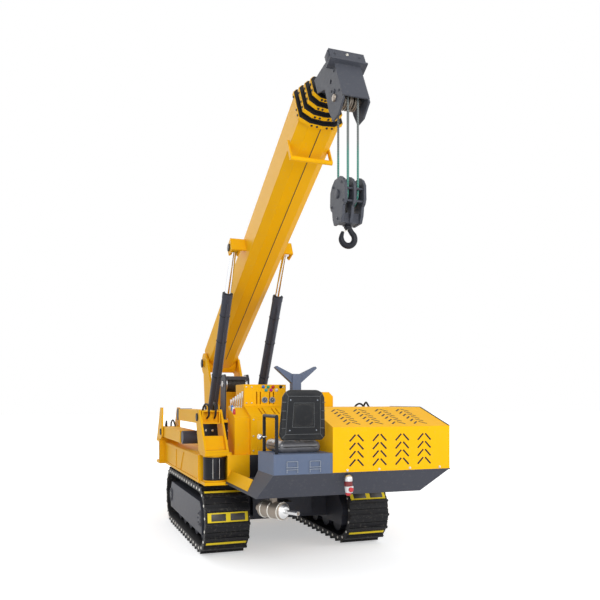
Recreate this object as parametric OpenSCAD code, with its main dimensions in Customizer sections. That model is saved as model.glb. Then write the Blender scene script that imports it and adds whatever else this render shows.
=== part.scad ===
// Tracked telescopic crane: fixed tracked carrier with swing-out outriggers,
// engine and driver's seat at the rear, slewing column with a luffing boom at the front.
// Millimetres, +X right, +Y forward, +Z up, origin on the ground under the middle of the tracks.

/* [Tracks] */
// Distance between the two end wheels' axles
track_axles = 1760; // [1400:10:2200]
// Radius of the loop over the grouser tips
track_r = 340; // [300:5:400]
// Depth of the loop from grouser tip to the wheels' seat
track_depth = 78; // [60:1:100]
// Height of one grouser bar
grouser_h = 22; // [10:1:30]
// Width of one track shoe
shoe_w = 430; // [350:10:500]
// Shoes in one loop
shoe_count = 40; // [30:1:50]
// Distance between the middles of the two tracks
track_gauge = 1480; // [1300:10:1700]

/* [Carrier] */
// Height of the frame's underside
deck_z0 = 690; // [685:5:760]
// Height of the frame's deck
deck_z1 = 1000; // [950:5:1100]
// Thickness of the frame's plates
plate_t = 30; // [15:1:40]
// Rear end of the carrier frame
deck_rear = -1150; // [-1300:10:-1100]
// Front end of the carrier frame
deck_front = 2220; // [2200:10:2400]
// Front end of the side beams over the tracks
beam_front = 1270; // [1200:10:1290]
// Half width over the side beams
deck_half_w = 955; // [940:5:1000]
// Width of each side beam
beam_w = 244; // [240:2:300]

/* [Driver's end] */
// Rear end of the tray and hood
tail_y = -2345; // [-2500:5:-2200]
// Height of the tray's underside
tray_z0 = 705; // [700:5:750]
// Height where the tray meets the hood
tray_z1 = 905; // [880:5:950]
// Left side of the tray and seat box
tray_left = -655; // [-720:5:-640]
// Right side of the hood
hood_right = 950; // [850:10:1000]
// Left side of the hood
hood_left = -150; // [-200:10:-100]
// Inward slope of the tray's sides at the bottom
tray_slope = 208; // [150:2:250]
// Forward slope of the tray's rear wall at the bottom
tray_rake = 145; // [100:5:200]
// Sheet thickness of tray, hood and console
sheet_t = 8; // [4:1:12]
// Height of the hood at its rear edge
hood_z_rear = 1278; // [1200:2:1350]
// Height of the hood's flat top
hood_z_top = 1434; // [1360:2:1500]
// Where the hood's slope meets its flat top
hood_break = -1850; // [-2000:10:-1700]
// Top of the seat box
seat_box_z = 1068; // [1000:2:1120]
// Front of the seat box
seat_box_front = -1915; // [-1950:5:-1850]
// Outward slope of the tray's left side at the bottom
tray_flare = 100; // [60:5:110]
// Front of the hood, clear of the right swivel's swing
hood_front = -1250; // [-1300:5:-1248]

/* [Console] */
// Width of the lever bank between the left swivel and the console
lever_w = 148; // [130:2:160]
// Right side of the console
console_right = -58; // [-80:2:-50]
// Front of the console
console_front = -560; // [-650:10:-500]
// Height where the console's slope starts
console_knee_z = 1335; // [1300:5:1400]
// Height where the console's desk meets its upright panel
console_desk_z = 1440; // [1410:5:1480]
// Top of the console
console_z = 1657; // [1600:1:1680]
// Right side of the oil tank
tank_right = 360; // [320:2:400]
// Top of the oil tank
tank_z = 1580; // [1500:5:1650]

/* [Slewing column] */
// Position of the slewing axis ahead of the origin
slew_y = 1750; // [1700:10:1800]
// Radius of the slewing ring
slew_r = 430; // [400:5:440]
// Height of the slewing ring's top
slew_z = 1200; // [1180:5:1240]
// Position of the boom's foot pin
pivot_y = 2300; // [2250:5:2320]
// Height of the boom's foot pin
pivot_z = 2036; // [2000:2:2080]
// Radius of the boom's foot pin
pivot_pin_r = 45; // [35:1:60]
// Position of the lift cylinders' foot pins
foot_y = 1380; // [1360:5:1400]
// Height of the lift cylinders' foot pins
foot_z = 1390; // [1370:5:1420]
// Half distance between the lift cylinders
lift_x = 320; // [316:1:330]
// Position of the winch drum
winch_y = 1430; // [1420:5:1460]
// Height of the winch drum
winch_z = 1715; // [1690:5:1720]

/* [Boom] */
// Elevation of the boom in the stored pose, degrees
boom_angle = 27.4; // [20:0.1:35]
// Half width of the base section
boom_hw = 200; // [180:2:205]
// Underside of the base section below the foot pin
boom_bottom = -130; // [-140:1:-120]
// Top of the base section above the foot pin
boom_top = 290; // [270:2:320]
// Length of the base section from the foot pin
boom_len = 4489; // [4300:1:4700]
// Length of the base section behind the foot pin
boom_tail = 40; // [30:5:60]
// Step in from one section to the next
boom_step = 27; // [25:1:30]
// Plate thickness of the sections
boom_t = 8; // [6:1:10]
// Distance between the sections' front collars
collar_pitch = 72; // [60:1:90]
// Distance from the foot pin to the lift cylinders' upper pin
lift_along = 2409; // [2350:1:2450]
// Height of the lift cylinders' upper pin over the foot pin
lift_n = 150; // [130:1:170]

/* [Lift cylinders] */
// Outer radius of the barrels
barrel_r = 62; // [55:1:64]
// Radius of the rods
rod_r = 38; // [30:1:45]
// Length of the barrels from the foot pin
barrel_len = 1640; // [1500:10:1680]

/* [Boom head and hook] */
// Distance of the head sheaves beyond the base section's end
head_reach = 496; // [480:1:510]
// Drop of the head sheaves below the foot pin
sheave_n = -400; // [-420:1:-390]
// Radius of the head sheaves
sheave_r = 88; // [80:1:95]
// Half width of the head box
head_hw = 120; // [110:1:130]
// Height of the hook block's sheave pin
hook_z = 3190; // [3150:5:3250]
// Length of the hook block
hook_block_h = 375; // [360:5:400]

/* [Outriggers] */
// Distance of the rear swivels inside the side beams' outer faces
rear_swivel_in = 122; // [115:1:130]
// Position of the rear swivels
rear_swivel_y = -1030; // [-1040:1:-1025]
// Distance of the front swivels inside the side beams' outer faces
front_swivel_in = 40; // [25:1:55]
// Position of the front swivels
front_swivel_y = 1400; // [1395:1:1405]
// Radius of the swivel drums
drum_r = 105; // [95:1:110]
// Height of the swivel brackets
bracket_z = 1405; // [1390:1:1410]
// Distance of the arm's pin from the swivel axis
arm_pin = 250; // [240:2:260]
// Height of the rear arms' pins
rear_pin_z = 1330; // [1325:1:1335]
// Height of the front arms' pins, which lie under the rear arms
front_pin_z = 1100; // [1095:1:1105]
// Length of the outrigger arm beyond the swivel axis
arm_len = 1500; // [1400:5:1520]
// Width of the outrigger arm
arm_w = 180; // [160:2:190]
// Height of the outrigger arm
arm_h = 130; // [120:2:135]
// Radius of the outrigger's foot roller
foot_r = 70; // [60:1:75]

/* [Hidden] */
$fn = 64;
// Running clearance of pins, shafts and sliding seats
fit = 0.1;
// Clear side gap between fork plates and what turns in them
side_gap = 6;
// Small gap between pieces that rest against each other
seat_gap = 0.3;
// Half distances between the swivels, and what stands beside the left one
rear_swivel_x = deck_half_w - rear_swivel_in;
front_swivel_x = deck_half_w - front_swivel_in;
lever_left = -rear_swivel_x + 185;
console_left = lever_left + lever_w;
// Underside of the middle deck
deck_under = deck_z0 + 3;

yellow = [0.95, 0.67, 0.07];
charcoal = [0.16, 0.17, 0.19];
slate = [0.33, 0.37, 0.43];
black = [0.08, 0.08, 0.09];
steel = [0.72, 0.73, 0.75];

// Plain solids placed by their corners and profiles

module block(low, high) {
    translate(low) cube(high - low);
}

// Profile of [y, z] points, drawn along X
module side_profile(points, x0, x1) {
    translate([x0, 0, 0]) rotate([90, 0, 90]) linear_extrude(x1 - x0) polygon(points);
}

// Profile of [x, z] points, drawn along Y
module end_profile(points, y0, y1) {
    translate([0, y1, 0]) rotate([90, 0, 0]) linear_extrude(y1 - y0) polygon(points);
}

// Round bar along X
module bar_x(x0, x1, y, z, r) {
    translate([x0, y, z]) rotate([0, 90, 0]) cylinder(r = r, h = x1 - x0);
}

module both_sides() {
    children();
    mirror([1, 0, 0]) children();
}

// Track loop

track_half = track_axles / 2;
track_seat_r = track_r - track_depth;
shoe_r = track_r - grouser_h;
loop_len = 2 * track_axles + 2 * PI * shoe_r;
shoe_pitch = loop_len / shoe_count;
// Share of the pitch that a shoe's plate and its grouser bar take
plate_share = 0.92;
bar_share = 0.16;
// Depth of the joint between two shoes
joint_depth = 14;

// Point of the loop at arc length s and height h over the shoes' plates
function loop_point(s, h) =
    let (straight = track_axles, arc = PI * shoe_r)
    s < straight ? [-track_half + s, track_r - shoe_r - h] :
    s < straight + arc ?
        let (a = (s - straight) / shoe_r * 180 / PI - 90)
        [track_half + (shoe_r + h) * cos(a), track_r + (shoe_r + h) * sin(a)] :
    s < 2 * straight + arc ? [track_half - (s - straight - arc), track_r + shoe_r + h] :
        let (a = (s - 2 * straight - arc) / shoe_r * 180 / PI + 90)
        [-track_half + (shoe_r + h) * cos(a), track_r + (shoe_r + h) * sin(a)];

// One shoe: joint groove, plate and a grouser bar at its leading edge
function shoe_points(i) =
    let (s = i * shoe_pitch)
    [for (q = [[0, -joint_depth], [1 - plate_share, -joint_depth], [1 - plate_share, 0],
               [0.5 - bar_share / 2, 0], [0.5 - bar_share / 2, grouser_h],
               [0.5 + bar_share / 2, grouser_h], [0.5 + bar_share / 2, 0], [0.999, 0]])
        loop_point(s + q[0] * shoe_pitch, q[1])];

module stadium(r) {
    translate([-track_half, track_r - r]) square([track_axles, 2 * r]);
    for (y = [-track_half, track_half]) translate([y, track_r]) circle(r = r);
}

module track_loop() {
    color(black) translate([-shoe_w / 2, 0, 0]) rotate([90, 0, 90]) linear_extrude(shoe_w)
        difference() {
            polygon([for (i = [0 : shoe_count - 1]) each shoe_points(i)]);
            stadium(track_seat_r);
        }
}

module track_left() translate([-track_gauge / 2, 0, 0]) track_loop();
module track_right() translate([track_gauge / 2, 0, 0]) track_loop();

// Track frame: side beam with sloping top, sprocket, idler and bottom rollers

frame_half_w = shoe_w / 2 - 15;
frame_z0 = 190;
frame_z1 = 500;
roller_r = frame_z0 - track_depth - seat_gap;
roller_count = 5;

module end_wheel(y, teeth) {
    bar_x(-55, 55, y, track_r, track_seat_r - seat_gap);
    bar_x(-frame_half_w, frame_half_w, y, track_r, 90);
    for (i = [0 : teeth - 1]) translate([0, y, track_r])
        rotate([i * 360 / teeth, 0, 0]) translate([0, track_seat_r * 0.6, 0])
            bar_x(-75, 75, 0, 0, 22);
}

module track_frame() {
    color(charcoal) {
        side_profile([[-track_half - 60, frame_z0], [-track_half - 60, frame_z1 - 90],
            [-track_half + 30, frame_z1],
                      [track_half - 30, frame_z1], [track_half + 60, frame_z1 - 90], [track_half + 60,
                          frame_z0]],
                     -frame_half_w, frame_half_w);
        end_wheel(-track_half, 8);
        end_wheel(track_half, 6);
        for (i = [0 : roller_count - 1])
            let (y = -track_half + 220 + i * (track_axles - 440) / (roller_count - 1))
            bar_x(-130, 130, y, track_depth + roller_r + seat_gap, roller_r);
    }
}

module track_frame_left() translate([-track_gauge / 2, 0, 0]) track_frame();
module track_frame_right() translate([track_gauge / 2, 0, 0]) track_frame();

// Carbody: cross beams between the two track frames under the carrier

tow_z = 420;
tow_r = 25;
tow_t = 30;
core_half = 330;
core_rear = -620;
core_front = 640;
carbody_half = track_gauge / 2 - shoe_w / 2 + 15;

module carbody() {
    color(charcoal) {
        for (y = [-520, 360]) block([-carbody_half, y, frame_z0 + 40], [carbody_half, y + 160,
            frame_z1 - 20]);
        block([-core_half, core_rear, frame_z0 + 90], [core_half, core_front, deck_under]);
        // Eye plate for a tow pin that is put in from below
        difference() {
            block([-60, core_rear - 140, tow_z - tow_t / 2], [60, core_rear + 5, tow_z + tow_t / 2]);
            translate([0, core_rear - 80, tow_z - tow_t]) cylinder(r = tow_r, h = 2 * tow_t);
        }
    }
}

// Carrier frame: side beams over the tracks, corner bays for the swivels, middle deck

module corner_bay(x, y) {
    hw = drum_r + bay_rim;
    difference() {
        for (z = [deck_z0, deck_z1 - plate_t])
            block([x - hw, y - hw, z], [x + hw, y + hw, z + plate_t]);
        translate([x, y, deck_z0 - 1]) cylinder(r = swivel_pin_r + fit, h = deck_z1 - deck_z0 + 2);
    }
}

swivel_pin_r = 55;
beam_in = deck_half_w - beam_w;
bay_rim = 15;
rear_bay_front = rear_swivel_y + drum_r + bay_rim;
pedestal_half = 520;
beam_top = deck_z1 - plate_t - 4;

module chassis() {
    color(yellow) {
        both_sides() {
            block([-deck_half_w, rear_bay_front - 5, deck_z0], [-beam_in, beam_front - 10, beam_top]);
            // Raised edge ribs of the side beam's outer face
            for (z = [deck_z0 + 4, beam_top - 30])
                block([-deck_half_w - 12, rear_bay_front + 10, z], [-deck_half_w + 5, beam_front - 30,
                    z + 25]);
            // End posts, an upright rib and a slanting one on the same face
            for (y = [rear_bay_front + 12, beam_front - 70])
                block([-deck_half_w - 10, y, deck_z0 + 6], [-deck_half_w + 5, y + 36, beam_top - 7]);
            block([-deck_half_w - 7, 420, deck_z0 + 8], [-deck_half_w + 5, 434, beam_top - 9]);
            side_profile([[-80, beam_top - 10], [-62, beam_top - 10], [168, deck_z0 + 8], [150,
                deck_z0 + 8]],
                         -deck_half_w - 7, -deck_half_w + 5);
            corner_bay(-rear_swivel_x, rear_swivel_y);
            corner_bay(-front_swivel_x, front_swivel_y);
            // Web plates that carry the bays from the middle deck
            block([-beam_in - 12, deck_rear, deck_z0], [-beam_in + 20, rear_bay_front + 40, deck_z1]);
            block([-front_swivel_x + drum_r + 12, beam_front - 8, deck_z0],
                  [-pedestal_half, front_swivel_y + drum_r + 14, deck_z1]);
            block([-front_swivel_x - drum_r - 14, beam_front - 20, deck_z0],
                  [-pedestal_half - 4, beam_front + bay_rim, deck_z1]);
        }
        // Middle deck with the slewing column's pedestal
        difference() {
            block([-beam_in - 6, deck_rear + 6, deck_under], [beam_in + 6, beam_front - 4,
                deck_z1 - plate_t]);
            block([-beam_in + 60, deck_rear - 1, deck_z0 - 1], [beam_in - 60, deck_rear + 300,
                deck_z1 - plate_t - 30]);
        }
        block([-pedestal_half - 8, beam_front - 26, deck_z0 + 1], [pedestal_half + 8, deck_front,
            deck_z1 - plate_t]);
    }
}

// Driver's end: tray, seat box, hood with slots, engine

module tray() {
    color(charcoal) difference() {
        intersection() {
            side_profile([[tail_y, tray_z1], [tail_y + tray_rake, tray_z0],
                          [deck_rear, tray_z0], [deck_rear, tray_z1]], tray_left - tray_flare, hood_right);
            end_profile([[tray_left - tray_flare, tray_z0], [tray_left, tray_z1], [hood_right, tray_z1],
                         [hood_right - tray_slope, tray_z0]], tail_y, deck_rear);
        }
        // Footwell ahead of the seat
        block([tray_left - tray_flare - 1, seat_box_front, tray_z0 + 50],
              [hood_left - 20, deck_rear + 1, tray_z1 + 1]);
        // Engine space under the hood
        block([hood_left + sheet_t, tail_y + tray_rake + 40, tray_z0 + 20],
              [hood_right - tray_slope - 20, hood_front - 20, tray_z1 + 1]);
        // Hollow under the seat
        block([tray_left + 20, tail_y + tray_rake + 40, tray_z0 + 20],
              [hood_left - 30, seat_box_front - 20, tray_z1 + 1]);
    }
}

module seat_box() {
    color(slate) difference() {
        block([tray_left, tail_y, tray_z1], [hood_left - 2, seat_box_front, seat_box_z]);
        block([tray_left + sheet_t, tail_y + sheet_t, tray_z1 - 1],
              [hood_left - 2 - sheet_t, seat_box_front - sheet_t, seat_box_z - sheet_t]);
    }
}

hood_slope = atan2(hood_z_top - hood_z_rear, hood_break - tail_y);
slot_len = 74;
slot_w = 11;
hood_mid = (hood_left + hood_right) / 2 - 20;

module slot(angle, depth) {
    rotate([0, 0, angle]) linear_extrude(depth, center = true) square([slot_len, slot_w], center = true);
}

// Chevrons in columns: rows of two slots that lean towards each other
module chevrons(columns, rows, column_pitch, row_pitch, depth) {
    for (c = [0 : columns - 1], r = [0 : rows - 1], s = [-1, 1])
        translate([(c - (columns - 1) / 2) * column_pitch + s * 36, (r - (rows - 1) / 2) * row_pitch, 0])
            slot(-s * 46, depth);
}

module hood_profile(inset) {
    low = tray_z1 - (inset > 0 ? 1 : 0);
    side_profile([[tail_y + inset, low], [tail_y + inset, hood_z_rear - inset], [hood_break,
        hood_z_top - inset],
                  [hood_front - inset, hood_z_top - inset], [hood_front - inset, low]],
                 hood_left + inset, hood_right - inset);
}

module hood() {
    color(yellow) difference() {
        hood_profile(0);
        hood_profile(sheet_t);
        translate([hood_mid, tail_y, (tray_z1 + hood_z_rear) / 2 - 6])
            rotate([90, 0, 0]) chevrons(4, 4, 212, 68, 60);
        translate([hood_mid, (tail_y + hood_break) / 2, (hood_z_rear + hood_z_top) / 2])
            rotate([hood_slope, 0, 0]) chevrons(4, 6, 212, 68, 60);
    }
}

module engine() {
    color(steel) block([hood_left + 150, tail_y + 330, tray_z0 + 20 + seat_gap],
                       [hood_left + 700, hood_front - 80, hood_z_rear - 48]);
}

// Console, oil tank, boom rest and controls

console_desk = 260;
lever_slots = [for (share = [0.3, 0.385, 0.605,
    0.7]) console_left + share * (console_right - console_left)];

module console() {
    panel_y = deck_rear + console_desk;
    profile = [[deck_rear, deck_z1 - plate_t], [deck_rear, console_knee_z], [panel_y, console_desk_z],
               [panel_y, console_z], [console_front, console_z], [console_front, deck_z1 - plate_t]];
    color(yellow) difference() {
        side_profile(profile, console_left, console_right);
        block([console_left + sheet_t, deck_rear + 60, deck_z1 - plate_t - 1],
              [console_right - sheet_t, console_front - sheet_t, console_knee_z - 60]);
        // Lever slots that run down the upright panel and on over the desk
        for (x = lever_slots) {
            block([x - 6, panel_y - 1, console_desk_z + 20], [x + 6, panel_y + 40, console_z - 75]);
            translate([x, deck_rear + console_desk / 2, (console_knee_z + console_desk_z) / 2])
                rotate([atan2(console_desk_z - console_knee_z, console_desk), 0, 0])
                    block([-6, -70, -40], [6, 90, 60]);
        }
    }
}

module oil_tank() {
    color(yellow) end_profile([[58, deck_z1 - plate_t], [58, tank_z], [tank_right - 45, tank_z],
                               [tank_right, tank_z - 45], [tank_right, deck_z1 - plate_t]],
                              deck_rear + 10, deck_rear + 400);
}

rest_y = -1020;
rest_z = 1762;
rest_post = 45;

module boom_rest() {
    color(slate) {
        block([-rest_post, rest_y - rest_post, deck_z1 - plate_t], [rest_post, rest_y + rest_post, rest_z]);
        both_sides() end_profile([[rest_post - 1, rest_z - 95], [rest_post - 1, rest_z], [205, rest_z + 78],
                                  [222, rest_z + 62], [196, rest_z + 38]], rest_y - 30, rest_y + 30);
    }
}

seat_mid = (tray_left + hood_left) / 2 + 17;
seat_half = 205;

module seat() {
    color(black) side_profile([[tail_y + 95, seat_box_z + seat_gap], [tail_y + 95, seat_box_z + 85],
                               [tail_y + 520, seat_box_z + 110], [tail_y + 545, seat_box_z + 80],
                               [tail_y + 545, seat_box_z + seat_gap]], seat_mid - seat_half,
                                   seat_mid + seat_half);
    // Back shell: leaning slab with its upper corners cut to a rounded outline
    color(black) intersection() {
        side_profile([[tail_y + 60, seat_box_z + 83.3], [tail_y + 20, seat_box_z + 500],
                      [tail_y + 60, seat_box_z + 540], [tail_y + 130, seat_box_z + 510],
                      [tail_y + 165, seat_box_z + 89.4]], seat_mid - seat_half, seat_mid + seat_half);
        translate([seat_mid, 0, seat_box_z])
            end_profile([[-195, 80], [-202, 140], [-182, 470], [-165, 512], [-125, 541], [125, 541],
                [165, 512],
                         [182, 470], [202, 140], [195, 80]], tail_y, tail_y + 200);
    }
}

rail_x = tray_left + 45;
rail_r = 14;

rail_rear = tail_y + 60;
rail_front = seat_box_front - 30;
rail_h = 300;

module grab_rail() {
    color(charcoal) {
        for (y = [rail_rear, rail_front]) translate([rail_x, y, seat_box_z]) {
            cylinder(r = rail_r, h = rail_h);
            translate([0, 0, rail_h]) sphere(r = rail_r);
        }
        translate([rail_x, rail_rear, seat_box_z + rail_h]) rotate([-90, 0, 0])
            cylinder(r = rail_r, h = rail_front - rail_rear);
    }
}

muffler_r = 70;
muffler_len = 240;
muffler_turn = -63.6;
muffler_x = -624;
muffler_y = tail_y + 381;

module muffler() {
    color(steel) {
        translate([muffler_x, muffler_y, tray_z0 - 115]) rotate([0, 90, muffler_turn]) {
            cylinder(r = muffler_r, h = muffler_len);
            translate([0, 0, muffler_len - 1]) cylinder(r1 = muffler_r, r2 = muffler_r / 2, h = 30);
            translate([0, 0, muffler_len + 20]) cylinder(r = 16, h = 148);
            translate([0, 0, -60]) cylinder(r = 30, h = 61);
        }
        // Hanger strap to the tray
        block([muffler_x + 34, muffler_y - 146, tray_z0 - 70], [muffler_x + 74, muffler_y - 66, tray_z0]);
    }
}

module lever_bank() {
    color(yellow) {
        side_profile([[deck_rear + 60, deck_z1 - 1], [deck_rear + 60, console_knee_z - 5],
                      [deck_rear + 330, console_desk_z], [deck_rear + 330, deck_z1 - 1]], lever_left,
                          console_left);
        block([lever_left, deck_rear + 60, deck_z1 - plate_t], [console_left, deck_rear + 330, deck_z1]);
    }
}

// Slewing column

module slew_ring() {
    color(charcoal) translate([0, slew_y, deck_z1 - plate_t]) difference() {
        cylinder(r = slew_r, h = slew_z - deck_z1 + plate_t);
        translate([0, 0, 60]) cylinder(r = slew_r - 120, h = slew_z);
    }
}

cheek_in = boom_hw + 15;
cheek_t = 30;
base_z = slew_z + seat_gap;
base_t = 40;
ear_in = lift_x - barrel_r - side_gap;
ear_out = lift_x + barrel_r + side_gap;
ear_t = 18;

module turntable() {
    color(yellow) {
        block([-ear_out - ear_t, foot_y - 90, base_z], [ear_out + ear_t, slew_y + 460, base_z + base_t]);
        both_sides() {
            difference() {
                union() {
                    side_profile([[slew_y - 200, base_z + base_t - 1], [pivot_y - 190, pivot_z + 60],
                                  [pivot_y + 60, pivot_z + 60], [slew_y + 459, base_z + base_t - 1]],
                                 cheek_in, cheek_in + cheek_t);
                    bar_x(cheek_in, cheek_in + cheek_t, pivot_y, pivot_z, 150);
                }
                bar_x(cheek_in - 1, cheek_in + cheek_t + 1, pivot_y, pivot_z, pivot_pin_r + fit);
            }
            // Ears of the lift cylinder's foot
            for (x = [ear_in - ear_t, ear_out]) difference() {
                union() {
                    side_profile([[foot_y - 85, base_z + base_t - 1], [foot_y - 60, foot_z],
                        [foot_y + 60, foot_z],
                                  [foot_y + 130, base_z + base_t - 1]], x, x + ear_t);
                    bar_x(x, x + ear_t, foot_y, foot_z, 60);
                }
                bar_x(x - 1, x + ear_t + 1, foot_y, foot_z, rod_r + fit);
            }
        }
        // Web between the two cheeks, behind the boom's foot
        block([-cheek_in - 1, slew_y + 200, base_z + base_t - 1], [cheek_in + 1, slew_y + 240,
            pivot_z - 330]);
    }
}

winch_in = 150;
winch_frame_t = 16;
drum_flange_r = 122;

module winch_frame() {
    color(charcoal) {
        both_sides() difference() {
            side_profile([[winch_y - 110, base_z + base_t], [winch_y - 140, winch_z + 60],
                [winch_y - 90, winch_z + 128],
                          [winch_y + 90, winch_z + 128], [winch_y + 140, winch_z + 60], [winch_y + 150,
                              base_z + base_t]],
                         winch_in, winch_in + winch_frame_t);
            bar_x(winch_in - 1, winch_in + winch_frame_t + 1, winch_y, winch_z, 40 + fit);
        }
        block([-winch_in - 1, winch_y - 138, winch_z + 56], [winch_in + 1, winch_y - 128, winch_z + 96]);
        block([-winch_in - 1, winch_y + 128, winch_z - 60], [winch_in + 1, winch_y + 138, winch_z + 60]);
    }
}

module winch_drum() {
    color(steel) {
        bar_x(-winch_in - winch_frame_t - 10, winch_in + winch_frame_t + 10, winch_y, winch_z, 40);
        bar_x(-winch_in + 8, winch_in - 8, winch_y, winch_z, 92);
        for (x = [-winch_in + 6, winch_in - 18]) bar_x(x, x + 12, winch_y, winch_z, drum_flange_r);
    }
}

// Boom: hexagonal sections with a shallow keel, modelled level towards -Y, then raised

module raised() {
    translate([0, pivot_y, pivot_z]) rotate([-boom_angle, 0, 0]) children();
}

// Section outline at an inward step d from the base section
function section(d) =
    let (w = boom_hw - d, b = boom_bottom + d, t = boom_top - d)
    [[0, b], [w * 0.58, b + 14], [w, b + 78], [w, t - 40], [w - 34, t], [-w + 34, t],
     [-w, t - 40], [-w, b + 78], [-w * 0.58, b + 14]];

module section_tube(d, a0, a1, wall) {
    difference() {
        end_profile(section(d), -a1, -a0);
        end_profile(section(d + wall), -a1 - 1, -a0 + 1);
    }
}

heel_r = 150;
collar_t = 34;
collar_out = 15;
tail_guide = 260;
mid_tail = 420;
stroke = 2400;

// Sliding section k: tube, front collar and a tail guide that fills its parent's bore
module boom_section(k) {
    d = k * boom_step;
    front = boom_len + k * collar_pitch;
    color(yellow) raised() {
        section_tube(d, mid_tail + k * 60, front, boom_t);
        section_tube(d - collar_out, front - collar_t, front, collar_out + boom_t);
        section_tube(d - boom_step + boom_t + fit, mid_tail + k * 60, mid_tail + k * 60 + tail_guide,
                     boom_step - fit);
        section_tube(d + boom_t - 1, front - tail_guide, front, boom_step - boom_t + 1 - fit);
    }
}

module boom_base() {
    color(yellow) raised() {
        difference() {
            union() {
                difference() {
                    end_profile(section(0), -boom_len, boom_tail);
                    end_profile(section(boom_t), -boom_len - 1, -300);
                }
                bar_x(-boom_hw, boom_hw, 0, 0, heel_r);
            }
            bar_x(-boom_hw - 1, boom_hw + 1, 0, 0, pivot_pin_r);
            // Rounded heel clears the web behind the foot
            block([-boom_hw - 1, 0, -heel_r - 1], [boom_hw + 1, heel_r + 1, -40]);
        }
        section_tube(-collar_out, boom_len - collar_t, boom_len, collar_out + boom_t);
        section_tube(boom_t - 1, boom_len - tail_guide, boom_len, boom_step - boom_t + 1 - fit);
        bar_x(-cheek_in - cheek_t - 20, cheek_in + cheek_t + 20, 0, 0, pivot_pin_r);
        // Fork plates and face plates for the lift cylinders' rod eyes
        both_sides() {
            for (x = [eye_x0 - fork_t, eye_x1])
                side_profile([[-lift_along - 85, lift_n - 90], [-lift_along - 85, lift_n + 70],
                              [-lift_along + 85, lift_n + 70], [-lift_along + 60, lift_n - 70]], x,
                                  x + fork_t);
            block([boom_hw - 1, -lift_along - 85, lift_n - 90], [eye_x1 + fork_t, -lift_along - 67,
                lift_n + 70]);
        }
        // Guard bar under the boom near its head
        both_sides() block([boom_hw - 3, -boom_len + 330, boom_bottom - 70],
                           [boom_hw + 12, -boom_len + 370, boom_bottom + 140]);
        bar_x(-boom_hw - 12, boom_hw + 12, -boom_len + 350, boom_bottom - 70, 22);
    }
}

fork_t = 16;
eye_half = 34;
eye_x0 = lift_x - eye_half - side_gap;
eye_x1 = lift_x + eye_half + side_gap;

module boom_2() boom_section(1);
module boom_3() boom_section(2);
module boom_4() boom_section(3);

last_step = 4 * boom_step;
sheave_along = boom_len + head_reach;
jib_along = sheave_along + 5;
jib_n = sheave_n + 185;
jib_pin_r = 20;
head_start = boom_len + 4 * collar_pitch - 40;
head_end = sheave_along + 122;
last_low = boom_bottom + last_step;
last_high = boom_top - last_step;

module boom_5() {
    color(charcoal) raised() {
        section_tube(last_step, mid_tail + 240, head_start, boom_t);
        section_tube(last_step - boom_step + boom_t + fit, mid_tail + 240, mid_tail + 240 + tail_guide,
                     boom_step - fit);
    }
}

// Head: two side plates, front plate and top box round the sheaves
module boom_head() {
    color(charcoal) raised() {
        both_sides() difference() {
            side_profile([[-head_start, last_low - 20], [-head_start - 135, sheave_n + 240],
                          [-head_start - 110, sheave_n + 5], [-head_start - 130, sheave_n - 140],
                          [-sheave_along + 15, sheave_n - 180], [-head_end, sheave_n - 145],
                          [-head_end, sheave_n + 310], [-head_end + 60, sheave_n + 400],
                          [-sheave_along + 35, sheave_n + 445], [-head_start - 165, sheave_n + 462],
                          [-head_start, last_high - 60]], head_hw - 16, head_hw);
            bar_x(head_hw - 17, head_hw + 1, -sheave_along, sheave_n, 30 + fit);
            // Bore for the pin of a fly jib
            bar_x(head_hw - 17, head_hw + 1, -jib_along, jib_n, jib_pin_r);
        }
        block([-head_hw, -head_end - 6, sheave_n - 112], [head_hw, -head_end + 6, sheave_n + 290]);
        // Top box with a rim along its lower edge
        block([-head_hw - 40, -head_end - 38, sheave_n + 275], [head_hw + 40, -head_end + 50,
            sheave_n + 390]);
        block([-head_hw - 50, -head_end - 48, sheave_n + 262], [head_hw + 50, -head_end + 55,
            sheave_n + 280]);
        // Back plate on the last section's end
        block([-head_hw + 2, -head_start - 20, last_low], [head_hw - 2, -head_start, last_high - 66]);
    }
}

fall_x = 45;
sheave_hw = 14;
rope_r = 9;

module head_sheaves() {
    color(steel) raised() {
        bar_x(-head_hw - 14, head_hw + 14, -sheave_along, sheave_n, 30);
        for (x = [-fall_x, 0, fall_x]) bar_x(x - sheave_hw, x + sheave_hw, -sheave_along, sheave_n,
            sheave_r);
    }
}

// Lift cylinders

head_y = pivot_y - lift_along * cos(boom_angle) + lift_n * sin(boom_angle);
head_z = pivot_z + lift_along * sin(boom_angle) + lift_n * cos(boom_angle);
lift_len = norm([head_y - foot_y, head_z - foot_z]);
lift_tilt = atan2(foot_y - head_y, head_z - foot_z);
rod_len = 1600;

// Frame of one lift cylinder: foot pin at its origin, rod towards +Z
module lift_frame() {
    for (x = [-lift_x, lift_x]) translate([x, foot_y, foot_z]) rotate([lift_tilt, 0, 0]) children();
}

module lift_barrels() {
    color(black) lift_frame() {
        difference() {
            union() {
                cylinder(r = barrel_r, h = barrel_len);
                translate([0, 0, barrel_len - 60]) cylinder(r = barrel_r + 3, h = 60);
                bar_x(-barrel_r, barrel_r, 0, 0, 56);
            }
            translate([0, 0, 90]) cylinder(r = rod_r + fit, h = barrel_len);
        }
        bar_x(-barrel_r - side_gap - ear_t - 4, barrel_r + side_gap + ear_t + 4, 0, 0, rod_r);
    }
}

module lift_rods() {
    color(steel) lift_frame() {
        translate([0, 0, lift_len - rod_len]) cylinder(r = rod_r, h = rod_len - 30);
        difference() {
            bar_x(-eye_half, eye_half, 0, lift_len, 55);
            bar_x(-eye_half - 1, eye_half + 1, 0, lift_len, 30);
        }
    }
}

// Hook block: cheek plates round its sheaves, swivelling hook below

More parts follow.
